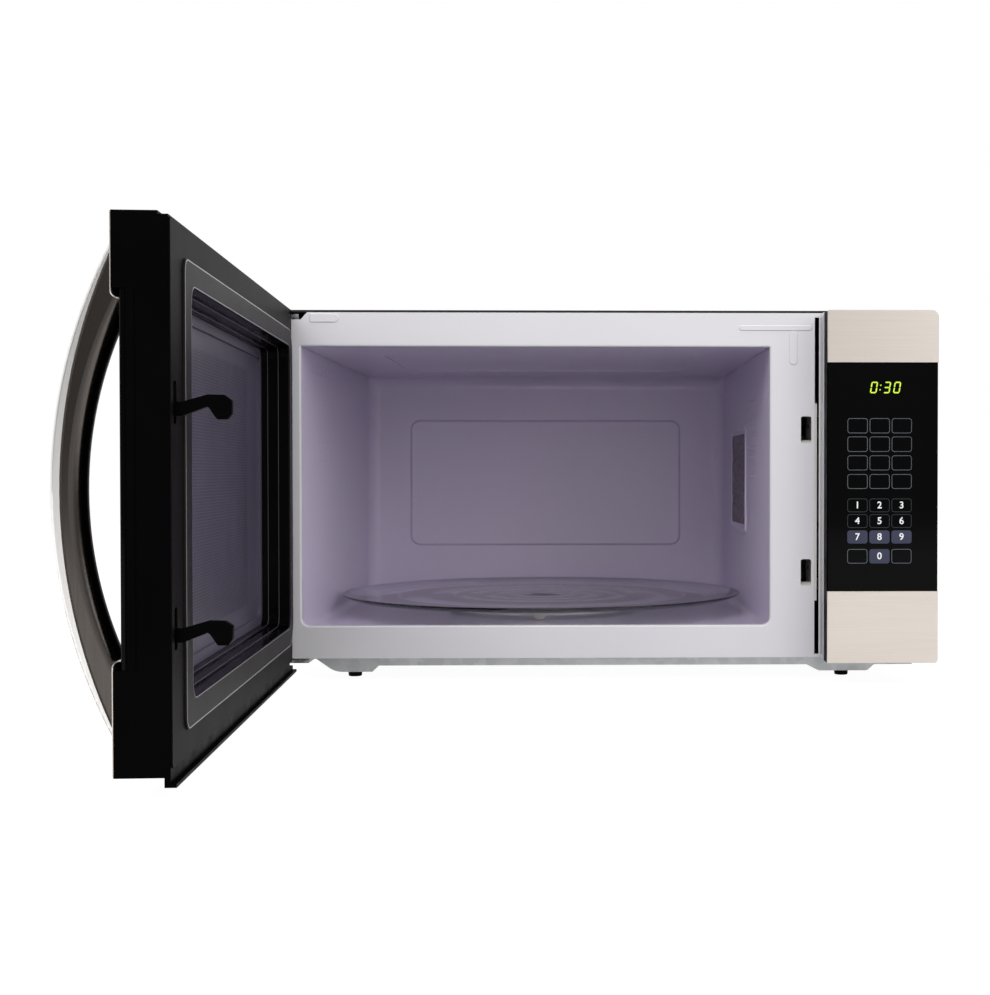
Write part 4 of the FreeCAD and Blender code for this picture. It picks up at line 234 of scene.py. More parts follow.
class ShaderSheet(NodeSheet):
    """One material's nodes, with short calls for the textures that the finishes share."""

    def __init__(self, name: str) -> None:
        """Start a material with its main shader and the piece's own coordinates.

        Args:
            name: The material's name.
        """
        self.material = bpy.data.materials.new(name)
        self.material.use_nodes = True
        super().__init__(self.material.node_tree)
        self.shader = next(n for n in self.nodes if n.type == "BSDF_PRINCIPLED")
        self.place = self.nodes.new("ShaderNodeTexCoord").outputs["Object"]

    def set(self, **values: Socket | float | Colour) -> None:
        """Link or set the main shader's sockets; an underscore in a name stands for a space."""
        self.join(self.shader, **values)

    def stretched(self, scale: Triple) -> Socket:
        """The piece's coordinates, scaled.

        Args:
            scale: Repeats per metre along X, Y and Z.

        Returns:
            The scaled coordinates.
        """
        node = self.nodes.new("ShaderNodeMapping")
        self.join(node, Vector=self.place, Scale=scale)
        return node.outputs["Vector"]

    def noise(self, scale: float, detail: float = 3.0, place: Socket | None = None) -> Socket:
        """Cloudy noise.

        Args:
            scale: Features per unit of the coordinates.
            detail: How many finer layers lie on it.
            place: Coordinates other than the piece's own.

        Returns:
            A value from 0 to 1.
        """
        node = self.nodes.new("ShaderNodeTexNoise")
        self.join(node, Scale=scale, Detail=detail, Vector=place or self.place)
        return node.outputs["Fac"]

    def cells(self, scale: float, feature: str = "F1", output: str = "Distance") -> Socket:
        """Cells, for grain, flakes and crystals.

        Args:
            scale: Cells per metre.
            feature: Which distance the texture measures.
            output: The texture's output that is wanted.

        Returns:
            That output.
        """
        node = self.nodes.new("ShaderNodeTexVoronoi")
        node.feature = feature
        self.join(node, Scale=scale, Vector=self.place)
        return node.outputs[output]

    def relief(self, height: Socket, depth: float, strength: float) -> None:
        """Raise and sink the surface's shading by a height texture.

        Args:
            height: The texture, 0 low and 1 high.
            depth: The relief's depth in metres.
            strength: How strongly it shows.
        """
        node = self.nodes.new("ShaderNodeBump")
        self.join(node, Strength=strength, Distance=depth, Height=height)
        self.set(Normal=node.outputs["Normal"])


@dataclass(frozen=True)
class Finish:
    """A surface finish: its main colour, a second one that it drifts to, and how rough it is."""

    colour: str
    shade: str
    roughness: float = 0.4
    spread: float = 0.06
    patches: float = 7.0
    wear: float = 30.0
    middle: Pair = (0.3, 0.7)

    def make(self, name: str) -> bpy.types.Material:
        """Build the finish as a material.

        Args:
            name: The material's name.

        Returns:
            The material.
        """
        sheet = ShaderSheet(name)
        self.dress(sheet)
        return sheet.material

    def dress(self, sheet: ShaderSheet) -> None:
        """Lay out the finish's textures on a sheet."""
        raise NotImplementedError

    def base(self, sheet: ShaderSheet) -> Socket:
        """The main colour with its slow drift to the second one.

        Args:
            sheet: Its nodes.

        Returns:
            The colour.
        """
        drift = sheet.spread(sheet.noise(self.patches, 2.0), 0.0, 1.0, *self.middle)
        return sheet.blend(drift, ink(self.colour), ink(self.shade))

    def paint(self, sheet: ShaderSheet) -> None:
        """Lay the drifting colour and the wear on a sheet."""
        sheet.set(Base_Color=self.base(sheet))
        self.worn(sheet)

    def limits(self) -> Pair:
        """The lowest and highest roughness."""
        return max(self.roughness - self.spread, 0.0), self.roughness + self.spread

    def worn(self, sheet: ShaderSheet) -> None:
        """Vary the roughness a little over the surface, as handling does."""
        sheet.set(Roughness=sheet.spread(sheet.noise(self.wear, 4.0), *self.limits(), *self.middle))


@dataclass(frozen=True)
class Enamel(Finish):
    """Fired or baked enamel on sheet steel: glossy, with the faint ripple of a sprayed coat."""

    gloss: float = 0.3
    gloss_roughness: float = 0.12
    shine: float = 0.45
    ripple: float = 0.0
    ripple_scale: float = 160.0

    def dress(self, sheet: ShaderSheet) -> None:
        """Drifting colour, a clear gloss and the coat's ripple.

        Args:
            sheet: Its nodes.
        """
        self.paint(sheet)
        sheet.set(Coat_Weight=self.gloss, Coat_Roughness=self.gloss_roughness, Specular_IOR_Level=self.shine)
        if self.ripple > 0:
            sheet.relief(sheet.noise(self.ripple_scale, 2.0), self.ripple, 0.35)


@dataclass(frozen=True)
class PowderPaint(Finish):
    """Baked powder paint with a fine pebbled grain."""

    grain: float = 1500.0
    grain_depth: float = 0.00012
    shine: float = 0.3

    def dress(self, sheet: ShaderSheet) -> None:
        """Drifting colour and a pebbled relief.

        Args:
            sheet: Its nodes.
        """
        self.paint(sheet)
        sheet.set(Specular_IOR_Level=self.shine)
        sheet.relief(sheet.noise(self.grain, 2.0), self.grain_depth, 0.5)


@dataclass(frozen=True)
class BrushedMetal(Finish):
    """Metal sheet brushed one way, with finer and coarser lines and a satin sheen."""

    grain: Grain = Grain.LEVEL
    depth: float = 0.00002
    contrast: Pair = (0.25, 0.75)

    def dress(self, sheet: ShaderSheet) -> None:
        """Line texture in the colour, the roughness and the relief.

        Args:
            sheet: Its nodes.
        """
        fine = sheet.noise(1.0, 4.0, sheet.stretched(self.grain.value))
        lines = sheet.spread(fine, 0.0, 1.0, *self.contrast)
        sheet.set(Base_Color=sheet.blend(lines, ink(self.colour), ink(self.shade)), Metallic=1.0,
                  Roughness=sheet.spread(lines, *self.limits()))
        sheet.relief(lines, self.depth, 0.4)


@dataclass(frozen=True)
class PlatedMetal(Finish):
    """Zinc-plated steel with its crystal patches, or a plain plated part."""

    crystals: float = 140.0
    strength: float = 0.35
    pits: float = 700.0
    pit_depth: float = 0.00003

    def dress(self, sheet: ShaderSheet) -> None:
        """Crystal patches in the colour and in the roughness.

        Args:
            sheet: Its nodes.
        """
        value = sheet.nodes.new("ShaderNodeRGBToBW")
        sheet.plug(value.inputs[0], sheet.cells(self.crystals, output="Color"))
        share = sheet.maths("MULTIPLY", value.outputs[0], self.strength)
        sheet.set(Base_Color=sheet.blend(share, ink(self.colour), ink(self.shade)), Metallic=1.0,
                  Roughness=sheet.spread(value.outputs[0], *self.limits()))
        sheet.relief(sheet.noise(self.pits), self.pit_depth, 0.3)


@dataclass(frozen=True)
class Moulding(Finish):
    """Moulded plastic or rubber: a spark-etched grain, or a polished face where the grain is faint."""

    patches: float = 12.0
    wear: float = 60.0
    grain: float = 1800.0
    grain_depth: float = 0.00006
    shine: float = 0.35

    def dress(self, sheet: ShaderSheet) -> None:
        """Drifting colour, the mould's grain and an even or polished gloss.

        Args:
            sheet: Its nodes.
        """
        self.paint(sheet)
        sheet.set(Specular_IOR_Level=self.shine)
        sheet.relief(sheet.cells(self.grain, "SMOOTH_F1"), self.grain_depth, 0.35)


@dataclass(frozen=True)
class ClearGlass(Finish):
    """Pressed clear glass with a faint body colour and gentle waviness."""

    wear: float = 20.0
    clearness: float = 1.0
    ior: float = 1.5
    waves: float = 40.0
    wave_depth: float = 0.00008

    def dress(self, sheet: ShaderSheet) -> None:
        """Clear body, slight waviness and faint dulling.

        Args:
            sheet: Its nodes.
        """
        self.paint(sheet)
        sheet.set(Transmission_Weight=self.clearness, IOR=self.ior)
        sheet.relief(sheet.noise(self.waves, 1.0), self.wave_depth, 0.25)


@dataclass(frozen=True)
class PrintedGlass(Finish):
    """Flat glass with opaque ink behind it: deep colour under a clear polished face."""

    marks: Triple = (15.0, 15.0, 120.0)
    shine: float = 0.06
    waves: float = 9.0
    wave_depth: float = 0.0001

    def dress(self, sheet: ShaderSheet) -> None:
        """The ink's drift under a polished coat, with faint wiping marks in its gloss.

        Args:
            sheet: Its nodes.
        """
        marks = sheet.noise(1.0, 4.0, sheet.stretched(self.marks))
        gloss = sheet.spread(marks, self.roughness, self.roughness + self.spread, 0.4, 0.8)
        sheet.set(Base_Color=self.base(sheet), Roughness=gloss, Specular_IOR_Level=self.shine)
        sheet.relief(sheet.noise(self.waves, 1.0), self.wave_depth, 0.1)


@dataclass(frozen=True)
class PerforatedSheet(Finish):
    """Painted steel sheet with its field of small punched holes, laid out in staggered rows."""

    pitch: float = 0.0026
    hole: float = 0.00085
    along: Triple = (0.0523, -0.9986, 0.0)
    field_run: Pair = (0.3139, 0.6149)
    field_rise: Pair = (0.08, 0.279)
    edge: Pair = (0.9, 1.1)
    sink: float = 0.0002
    dark: str = "#221e29"

    def rows(self, sheet: ShaderSheet, across: Socket, offset: float) -> Socket:
        """Distance from the nearest hole of one of the two sets of rows.

        Args:
            sheet: Its nodes.
            across: Coordinates in the sheet's own plane.
            offset: The set's offset, in pitches.

        Returns:
            The distance in metres.
        """
        tall = self.pitch * math.sqrt(3.0)
        shifted = sheet.vector("ADD", across, (offset * self.pitch, offset * tall, 0.0))
        steps = sheet.vector("MULTIPLY", shifted, (1 / self.pitch, 1 / tall, 0.0))
        centred = sheet.vector("SUBTRACT", sheet.vector("FRACTION", steps), (0.5, 0.5, 0.0))
        true = sheet.vector("MULTIPLY", centred, (self.pitch, tall, 0.0))
        return sheet.vector("LENGTH", true, output="Value")

    def dress(self, sheet: ShaderSheet) -> None:
        """The paint, with dark sunk holes over the field and a plain border round it.

        Args:
            sheet: Its nodes.
        """
        run = sheet.vector("DOT_PRODUCT", sheet.place, self.along, "Value")
        rise = sheet.split(sheet.place).outputs["Z"]
        joined = sheet.nodes.new("ShaderNodeCombineXYZ")
        sheet.join(joined, X=run, Y=rise)
        across = joined.outputs["Vector"]
        near = sheet.maths("MINIMUM", self.rows(sheet, across, 0.0), self.rows(sheet, across, 0.5))
        body = sheet.spread(near, 0.0, 1.0, self.hole * self.edge[0], self.hole * self.edge[1])
        for value, (low, high) in ((run, self.field_run), (rise, self.field_rise)):
            body = sheet.maths("MAXIMUM", body, sheet.maths("LESS_THAN", value, low))
            body = sheet.maths("MAXIMUM", body, sheet.maths("GREATER_THAN", value, high))
        sheet.set(Base_Color=sheet.blend(body, ink(self.dark), self.base(sheet)))
        self.worn(sheet)
        sheet.relief(body, self.sink, 0.5)


@dataclass(frozen=True)
class Laminations(Finish):
    """Stacked iron sheets, seen as fine lines across the stack."""

    pitch: float = 0.0012
    gap_share: float = 0.25
    groove: float = 0.0001
    shine: float = 0.8

    def dress(self, sheet: ShaderSheet) -> None:
        """Thin lines in the colour and the relief.

        Args:
            sheet: Its nodes.
        """
        steps = sheet.vector("MULTIPLY", sheet.place, (0.0, 1 / self.pitch, 0.0))
        part = sheet.split(sheet.vector("FRACTION", steps))
        lines = sheet.maths("GREATER_THAN", part.outputs["Y"], self.gap_share)
        sheet.set(Base_Color=sheet.blend(lines, ink(self.shade), ink(self.colour)), Metallic=self.shine)
        self.worn(sheet)
        sheet.relief(lines, self.groove, 0.5)


@dataclass(frozen=True)
class BoardLacquer(Finish):
    """Circuit board lacquer with paler tracks showing through."""

    tracks: float = 160.0
    track_share: float = 0.06
    track_rise: float = 0.00005
    gloss: float = 0.3

    def dress(self, sheet: ShaderSheet) -> None:
        """Tracks as thin cell borders under the lacquer.

        Args:
            sheet: Its nodes.
        """
        border = sheet.cells(self.tracks, "DISTANCE_TO_EDGE")
        tracks = sheet.maths("LESS_THAN", border, self.track_share)
        sheet.set(Base_Color=sheet.blend(tracks, ink(self.colour), ink(self.shade)))
        self.worn(sheet)
        sheet.set(Coat_Weight=self.gloss, Coat_Roughness=0.2)
        sheet.relief(tracks, self.track_rise, 0.4)


@dataclass(frozen=True)
class MicaSheet(Finish):
    """Pressed mica: mottled flakes with a soft pearly sheen."""

    flakes: float = 220.0
    chips: float = 300.0
    chip_depth: float = 0.00008
    pearl: float = 0.15

    def dress(self, sheet: ShaderSheet) -> None:
        """Overlapping flakes in the colour, the roughness and the relief.

        Args:
            sheet: Its nodes.
        """
        flakes = sheet.spread(sheet.noise(self.flakes, 6.0), 0.0, 1.0, 0.35, 0.65)
        sheet.set(Base_Color=sheet.blend(flakes, ink(self.colour), ink(self.shade)), Metallic=self.pearl,
                  Roughness=sheet.spread(flakes, self.roughness, self.roughness + self.spread))
        sheet.relief(sheet.cells(self.chips), self.chip_depth, 0.4)


@dataclass(frozen=True)
class Glow(Finish):
    """A lit display segment: coloured light that drifts at random towards a paler green."""

    patches: float = 300.0
    strength: float = 1.0

    def dress(self, sheet: ShaderSheet) -> None:
        """Light from the segment, a little uneven along it.

        Args:
            sheet: Its nodes.
        """
        light = self.base(sheet)
        sheet.set(Base_Color=light, Emission_Color=light, Emission_Strength=self.strength,
                  Roughness=self.roughness)


FINISHES: dict[str, Finish] = {
    "frame_enamel": Enamel("#dcdade", "#d9d7dc", 0.24, 0.008, ripple=0.00001),
    "cavity_enamel": Enamel("#e2d8ee", "#dfd5eb", 0.32, 0.008, gloss=0.2, ripple=0.0),
    "cabinet_paint": PowderPaint("#1d1d1f", "#222224", 0.5),
    "plated_sheet": PlatedMetal("#b9babb", "#8f9294", 0.38),
    "plated_steel": PlatedMetal("#c9cacb", "#a4a6a8", 0.26, crystals=420.0, strength=0.2),
    "trim_steel": BrushedMetal("#ddd4cc", "#d2c9c1", 0.34, 0.05),
    "handle_steel": BrushedMetal("#f0eeec", "#e6e3e0", 0.32, 0.04, grain=Grain.UPRIGHT),
    "black_plastic": Moulding("#020203", "#040405", 0.42, shine=0.02),
    "gloss_black": Moulding("#030303", "#040405", 0.2, 0.02, grain=500.0, grain_depth=0.00001, shine=0.1),
    # Painted highlight: the window's step and mouth beads are black gloss moulding, coloured lavender grey so
    # that they show as lit lines.
    "edge_gloss": Moulding("#4c4850", "#454148", 0.22, 0.03, grain=900.0, grain_depth=0.00001, shine=0.5),
    # Painted highlight: the bead on the dark inner cover's edge is coloured light grey so that it shows as a
    # lit line.
    "cover_edge": Moulding("#8c8886", "#7c7877", 0.25, 0.03, grain=900.0, grain_depth=0.00001, shine=0.5),
    "black_glass": PrintedGlass("#010201", "#020302", 0.05, 0.05),
    "door_glass": PrintedGlass("#030304", "#060607", 0.04, 0.05),
    "membrane": Moulding("#141519", "#1c1d22", 0.5, grain=2500.0),
    "circuit_board": BoardLacquer("#1d4a2c", "#3c7a49", 0.35),
    "white_plastic": Moulding("#d8d6cf", "#cfccc4", 0.4),
    "grey_plastic": Moulding("#8c8d90", "#7f8083", 0.45),
    "mica": MicaSheet("#8d868b", "#6f686c", 0.4, 0.2),
    "aluminium": PlatedMetal("#c6c8ca", "#a9abae", 0.34, crystals=500.0, strength=0.3),
    "core_iron": Laminations("#4b4a4d", "#19191b", 0.45),
    "lamp_glass": ClearGlass("#f6efe2", "#efe6d6", 0.12, 0.04, clearness=0.7),
    "tray_glass": ClearGlass("#f1f4f2", "#eef2f0", 0.01, 0.008),
    "foot_rubber": Moulding("#0c0c0d", "#121213", 0.75, grain=1200.0, grain_depth=0.0001, shine=0.1),
    "dark_paint": PowderPaint("#0e0c0b", "#100e0d", 0.42, 0.01, grain=2200.0, shine=0.02),
    "cover_paint": PowderPaint("#211e20", "#242123", 0.38, 0.01, grain=2200.0, shine=0.03),
    # Painted reflection and painted shade: the screen's dark purple-grey stands for a paler grey sheet that
    # mirrors the purple cavity.
    "screen_paint": PerforatedSheet("#565061", "#4d4758", 0.4, 0.02),
    "grip_steel": BrushedMetal("#5c5753", "#524d4a", 0.18, 0.03, grain=Grain.UPRIGHT),
    "white_ink": Moulding("#f4f5f6", "#eceef0", 0.45, grain=3000.0, grain_depth=0.00001),
    "grey_ink": Moulding("#5b6168", "#484d54", 0.45, grain=3000.0, grain_depth=0.00001),
    "faint_ink": Moulding("#23262c", "#1b1d22", 0.45, grain=3000.0, grain_depth=0.00001),
    "blue_ink": Moulding("#30334a", "#363a52", 0.45, grain=3000.0, grain_depth=0.00001),
    "display_glow": Glow("#8fb81c", "#b8c832", 0.5, strength=0.9),
}
SPECIAL_DRESS = {"door_inner_cover": "cover_paint", "handle_bar": "handle_steel"}


class Wardrobe:
    """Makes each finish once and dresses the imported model's pieces and the new ones in them."""

    def __init__(self) -> None:
        """Start with nothing made."""
        self.made: dict[str, bpy.types.Material] = {}

    def get(self, name: str) -> bpy.types.Material:
        """The material of a finish, made the first time that it is asked for.

        Args:
            name: The finish's name.

        Returns:
            The material.
        """
        if name not in self.made:
            self.made[name] = FINISHES[name].make(name)
        return self.made[name]

    def dress_model(self) -> None:
        """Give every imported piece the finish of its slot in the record."""
        for part in frame["record"]["subparts"]:
            piece = frame["nodes"][part["node"]]
            finish = SPECIAL_DRESS.get(part["node"], part["material_slot"])
            for place in piece.material_slots:
                place.material = self.get(finish)
            LOG.info("dressed %s in %s", part["node"], finish)

    def dress(self, piece: Piece, finish: str, body: Body, slot: str, stands_for: Sequence[str] = ()) -> None:
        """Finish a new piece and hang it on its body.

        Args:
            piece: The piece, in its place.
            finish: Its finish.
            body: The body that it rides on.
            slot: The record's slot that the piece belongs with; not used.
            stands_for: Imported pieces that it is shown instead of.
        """
        piece.data.materials.clear()
        piece.data.materials.append(self.get(finish))
        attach(piece, body.value)
        if stands_for:
            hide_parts(*stands_for)
        LOG.info("made %s on %s in %s", piece.name, body.value, finish)


# ---- modelling by hand -----------------------------------------------------------------------------
class Bench:
    """Hand modelling with Blender's own operators, on one piece at a time."""

    @staticmethod
    def clear() -> None:
        """Leave object mode's selection empty."""
        if bpy.context.mode != "OBJECT":
            bpy.ops.object.mode_set(mode="OBJECT")
        bpy.ops.object.select_all(action="DESELECT")

    @staticmethod
    def pick(*pieces: Piece) -> None:
        """Select some pieces and no others.

        Args:
            pieces: The pieces, the one to be active first.
        """
        Bench.clear()
        for piece in pieces:
            piece.select_set(True)
        bpy.context.view_layer.objects.active = pieces[0]

    @staticmethod
    def block(name: str, low: Triple, high: Triple) -> Piece:
        """Add a block between two corners, in millimetres.

        Args:
            name: The piece's name.
            low: Its lowest corner.
            high: Its highest corner.

        Returns:
            The piece, selected and active, with its place in its mesh.
        """
        Bench.clear()
        middle = metres(*((a + b) / 2 for a, b in zip(low, high)))
        size = metres(*(b - a for a, b in zip(low, high)))
        bpy.ops.mesh.primitive_cube_add(size=1.0, location=middle, scale=size)
        return Bench.settle(name)

    @staticmethod
    def settle(name: str) -> Piece:
        """Name the active piece and put its place into its mesh.

        Args:
            name: Its name.

        Returns:
            The piece, at the origin.
        """
        piece = bpy.context.object
        bpy.ops.object.transform_apply(location=True, rotation=True, scale=True)
        piece.name = name
        piece.data.name = name
        return piece

    @staticmethod
    def edit(piece: Piece) -> None:
        """Open a piece for editing with nothing selected.

        Args:
            piece: The piece.
        """
        Bench.pick(piece)
        bpy.ops.object.mode_set(mode="EDIT")
        bpy.ops.mesh.select_all(action="DESELECT")

    @staticmethod
    def done() -> None:
        """Close the piece that is open."""
        bpy.ops.object.mode_set(mode="OBJECT")

    @staticmethod
    def select(piece: Piece, kind: Element, wanted: Callable[[bmesh.types.BMVert], bool]) -> None:
        """Select the open piece's points, edges or faces that pass a test, and no others.

        Args:
            piece: The open piece.
            kind: What is selected.
            wanted: The test on each of them.
        """
        bpy.ops.mesh.select_mode(type=kind.name)
        work = bmesh.from_edit_mesh(piece.data)
        for item in getattr(work, kind.value):
            item.select_set(wanted(item))
        bmesh.update_edit_mesh(piece.data)

    @staticmethod
    def runs_deep(edge: bmesh.types.BMEdge) -> bool:
        """Does an edge run along Y?"""
        run = (edge.verts[1].co - edge.verts[0].co).normalized()
        return abs(run.y) > PARALLEL

    @staticmethod
    def round_corners(piece: Piece, radius: float, segments: int,
                      wanted: Callable[[float], bool] = lambda x: True) -> None:
        """Round a block's edges that run along Y, in millimetres.

        Args:
            piece: The block.
            radius: The corners' radius.
            segments: Flats in each corner.
            wanted: The test on an edge's X, where only some are rounded.
        """
        Bench.edit(piece)
        Bench.select(piece, Element.EDGE, lambda e: Bench.runs_deep(e) and wanted(e.verts[0].co.x))
        bpy.ops.mesh.bevel(offset=radius * MM, segments=segments)
        Bench.done()

    @staticmethod
    def make_ring(piece: Piece, axis: int, width: float) -> None:
        """Open a flat block into a ring of even width, in millimetres.

        Args:
            piece: The block.
            axis: The axis that its two broad faces look along.
            width: The ring's width.
        """
        Bench.edit(piece)
        Bench.select(piece, Element.FACE, lambda f: abs(f.normal[axis]) > PARALLEL)
        bpy.ops.mesh.inset(thickness=width * MM, use_even_offset=True)
        bpy.ops.mesh.bridge_edge_loops()
        Bench.done()

    @staticmethod
    def soften(piece: Piece, width: float, segments: int = 2, angle: float = 40.0) -> None:
        """Round a piece's sharp edges with a bevel that is applied, in millimetres.

        Args:
            piece: The piece.
            width: The bevel's width.
            segments: Its flats.
            angle: Edges sharper than this many degrees are rounded.
        """
        bevel = piece.modifiers.new("soften", "BEVEL")
        bevel.width = width * MM
        bevel.segments = segments
        bevel.limit_method = "ANGLE"
        bevel.angle_limit = math.radians(angle)
        Bench.pick(piece)
        bpy.ops.object.modifier_apply(modifier=bevel.name)

    @staticmethod
    def smooth(piece: Piece, angle: float = 35.0) -> Piece:
        """Shade a piece smooth, except over its sharp edges.

        Args:
            piece: The piece.
            angle: Edges sharper than this many degrees stay sharp.

        Returns:
            The piece.
        """
        Bench.pick(piece)
        bpy.ops.object.shade_smooth_by_angle(angle=math.radians(angle))
        return piece

    @staticmethod
    def copy(piece: Piece, name: str, shift: Triple) -> Piece:
        """Copy a piece with a mesh of its own, moved.

        Args:
            piece: The piece.
            name: The copy's name.
            shift: How far the copy is moved, in millimetres.

        Returns:
            The copy, at the origin with its place in its mesh.
        """
        twin = piece.copy()
        twin.data = piece.data.copy()
        twin.name = name
        twin.data.name = name
        twin.data.transform(Matrix.Translation(metres(*shift)))
        bpy.context.collection.objects.link(twin)
        return twin

    @staticmethod
    def join(pieces: Sequence[Piece], name: str) -> Piece:
        """Join pieces into one.

        Args:
            pieces: The pieces.
            name: The joined piece's name.

        Returns:
            The joined piece.
        """
        Bench.pick(*pieces)
        bpy.ops.object.join()
        return Bench.settle(name)


# ---- sub-assemblies --------------------------------------------------------------------------------
@dataclass(frozen=True)
class KeyRow:
    """A row of keys: its height band, how each is drawn and its numerals."""

    low: float
    high: float
    styles: tuple[KeyStyle, KeyStyle, KeyStyle]
    numerals: str = ""


@dataclass
class ControlPanel:
    """The printed keys, their numerals and the lit digits on the black glass, in millimetres."""

    wardrobe: Wardrobe
    face_y: float = -264.0
    print_depth: float = 0.09
    numeral_depth: float = 0.036
    columns: tuple[Pair, ...] = ((221.7, 239.9), (241.6, 259.8), (261.5, 279.6))
    line: float = 0.55
    corner: float = 2.4
    numeral_size: float = 8.6
    numeral_weight: float = 0.13
    digit_low: float = 262.8
    digit_high: float = 273.2
    digit_width: float = 6.0
    digit_stroke: float = 1.15
    digit_slant: float = 0.16
    segment_gap: float = 0.35
    colon_heights: Pair = (0.3, 0.7)
    dot_share: float = 1.15
    digit_places: tuple[tuple[str, float], ...] = (("0", 241.6), (":", 250.4), ("3", 253.4), ("0", 262.4))
    patterns: dict[tuple, Piece] = field(default_factory=dict)

    @staticmethod
    def key_rows() -> tuple[KeyRow, ...]:
        """Lay out the keys.

        Returns:
            The rows of keys from the top down.
        """
        drawn, faint, full = KeyStyle.OUTLINED, KeyStyle.FAINT, KeyStyle.FILLED
        return (
            KeyRow(227.0, 240.5, (drawn, drawn, drawn)),
            KeyRow(210.4, 224.1, (drawn, drawn, drawn)),
            KeyRow(193.8, 207.2, (drawn, drawn, drawn)),
            KeyRow(177.2, 190.4, (drawn, drawn, drawn)),
            KeyRow(156.3, 168.5, (faint, faint, faint), "123"),
            KeyRow(142.2, 154.4, (faint, faint, faint), "456"),
            KeyRow(128.1, 139.9, (full, full, full), "789"),
            KeyRow(110.2, 123.2, (drawn, full, drawn), " 0 "),
        )

    def key_pattern(self, width: float, height: float, style: KeyStyle) -> Piece:
        """Model a key at the origin, the first time that its size and style are asked for.

        Args:
            width: Its width.
            height: Its height.
            style: A rounded outline, or a filled pad.

        Returns:
            The pattern to copy.
        """
        kind = (width, height, style is KeyStyle.FILLED)
        if kind not in self.patterns:
            piece = Bench.block("key_pattern", (0.0, -self.print_depth, 0.0), (width, 0.0, height))
            Bench.round_corners(piece, self.corner, 5)
            if style is not KeyStyle.FILLED:
                Bench.make_ring(piece, 1, self.line)
            self.patterns[kind] = Bench.smooth(piece)
        return self.patterns[kind]

    def key(self, name: str, span: Pair, row: KeyRow, style: KeyStyle) -> None:
        """Print one key.

        Args:
            name: The key's place in its name.
            span: Its left and right sides.
            row: Its row.
            style: How it is drawn.
        """
        pattern = self.key_pattern(round(span[1] - span[0], 2), round(row.high - row.low, 2), style)
        piece = Bench.copy(pattern, f"key_{name}", (span[0], self.face_y, row.low))
        self.wardrobe.dress(piece, style.value, Body.OVEN, "membrane")

    def numeral(self, text: str, middle_x: float, middle_z: float) -> None:
        """Print one numeral on its key.

        Args:
            text: The digit.
            middle_x: The middle of the key across.
            middle_z: The middle of the key in height.
        """
        Bench.clear()
        place = metres(middle_x, self.face_y - self.print_depth - self.numeral_depth, middle_z)
        bpy.ops.object.text_add(location=place, rotation=(math.radians(90), 0.0, 0.0))
        words = bpy.context.object
        words.data.body = text
        words.data.size = self.numeral_size * MM
        words.data.align_x = "CENTER"
        words.data.align_y = "CENTER"
        words.data.offset = self.numeral_weight * MM
        words.data.extrude = self.numeral_depth * MM
        bpy.ops.object.convert(target="MESH")
        piece = Bench.settle(f"numeral_{text}")
        self.wardrobe.dress(piece, "white_ink", Body.OVEN, "white_plastic")

    def segment(self, length: float, middle: Pair, upright: bool = False) -> Piece:
        """Copy one lit segment, a six-sided bar with pointed ends, modelled once for each length.

        Args:
            length: Its length between its points.
            middle: Where its middle goes, across and up.
            upright: Stand it on end.

        Returns:
            The segment.
        """
        kind = (length, upright)
        if kind not in self.patterns:
            Bench.clear()
            radius = self.digit_stroke / math.sqrt(3.0)
            bpy.ops.mesh.primitive_cylinder_add(vertices=6, radius=radius * MM, depth=self.print_depth * MM,
                                                rotation=(math.radians(90), math.radians(30), 0.0))
            piece = Bench.settle("segment_pattern")
            reach = length / 2 - radius
            for side in (-1.0, 1.0):
                Bench.edit(piece)
                Bench.select(piece, Element.VERT, lambda p, s=side: p.co.x * s > 0)
                bpy.ops.transform.translate(value=metres(side * reach, 0.0, 0.0))
                Bench.done()
            if upright:
                piece.data.transform(Matrix.Rotation(math.radians(90), 4, "Y"))
            self.patterns[kind] = piece
        return Bench.copy(self.patterns[kind], "segment", (middle[0], 0.0, middle[1]))

    def digit(self, text: str, index: int, left: float) -> None:
        """Light one digit of the display, or its colon.

        Args:
            text: The digit, or a colon.
            index: Its place in the display.
            left: Its left side.
        """
        height, inset = self.digit_high - self.digit_low, self.digit_stroke / 2
        wide, tall = self.digit_width - 2 * inset, height / 2 - inset
        top, middle, bottom = height - inset, height / 2, inset
        level = {"0": (top, bottom), "3": (top, middle, bottom), ":": ()}[text]
        posts = {"0": (inset, inset + wide), "3": (inset + wide,), ":": ()}[text]
        upright = [(x, middle + side * tall / 2) for side in (1, -1) for x in posts]
        dots = [height * share for share in self.colon_heights] if text == ":" else []
        made = [self.segment(self.digit_stroke * self.dot_share, (0.0, z)) for z in dots]
        made += [self.segment(wide - self.segment_gap, (self.digit_width / 2, z)) for z in level]
        made += [self.segment(tall - self.segment_gap, place, True) for place in upright]
        piece = Bench.join(made, f"display_digit_{index}")
        slant = Matrix.Identity(4)
        slant[0][2] = self.digit_slant
        piece.data.transform(slant)
        place = metres(left, self.face_y - self.print_depth, self.digit_low)
        piece.data.transform(Matrix.Translation(place))
        self.wardrobe.dress(piece, "display_glow", Body.OVEN, "white_plastic")

    def build(self) -> None:
        """Print all the keys and numerals and light the display."""
        for r, row in enumerate(self.key_rows()):
            for c, (span, style) in enumerate(zip(self.columns, row.styles)):
                self.key(f"{r + 1}_{c + 1}", span, row, style)
                if row.numerals and row.numerals[c] != " ":
                    self.numeral(row.numerals[c], sum(span) / 2, (row.low + row.high) / 2)
        for index, (text, left) in enumerate(self.digit_places):
            self.digit(text, index + 1, left)
        for pattern in self.patterns.values():
            bpy.data.objects.remove(pattern)


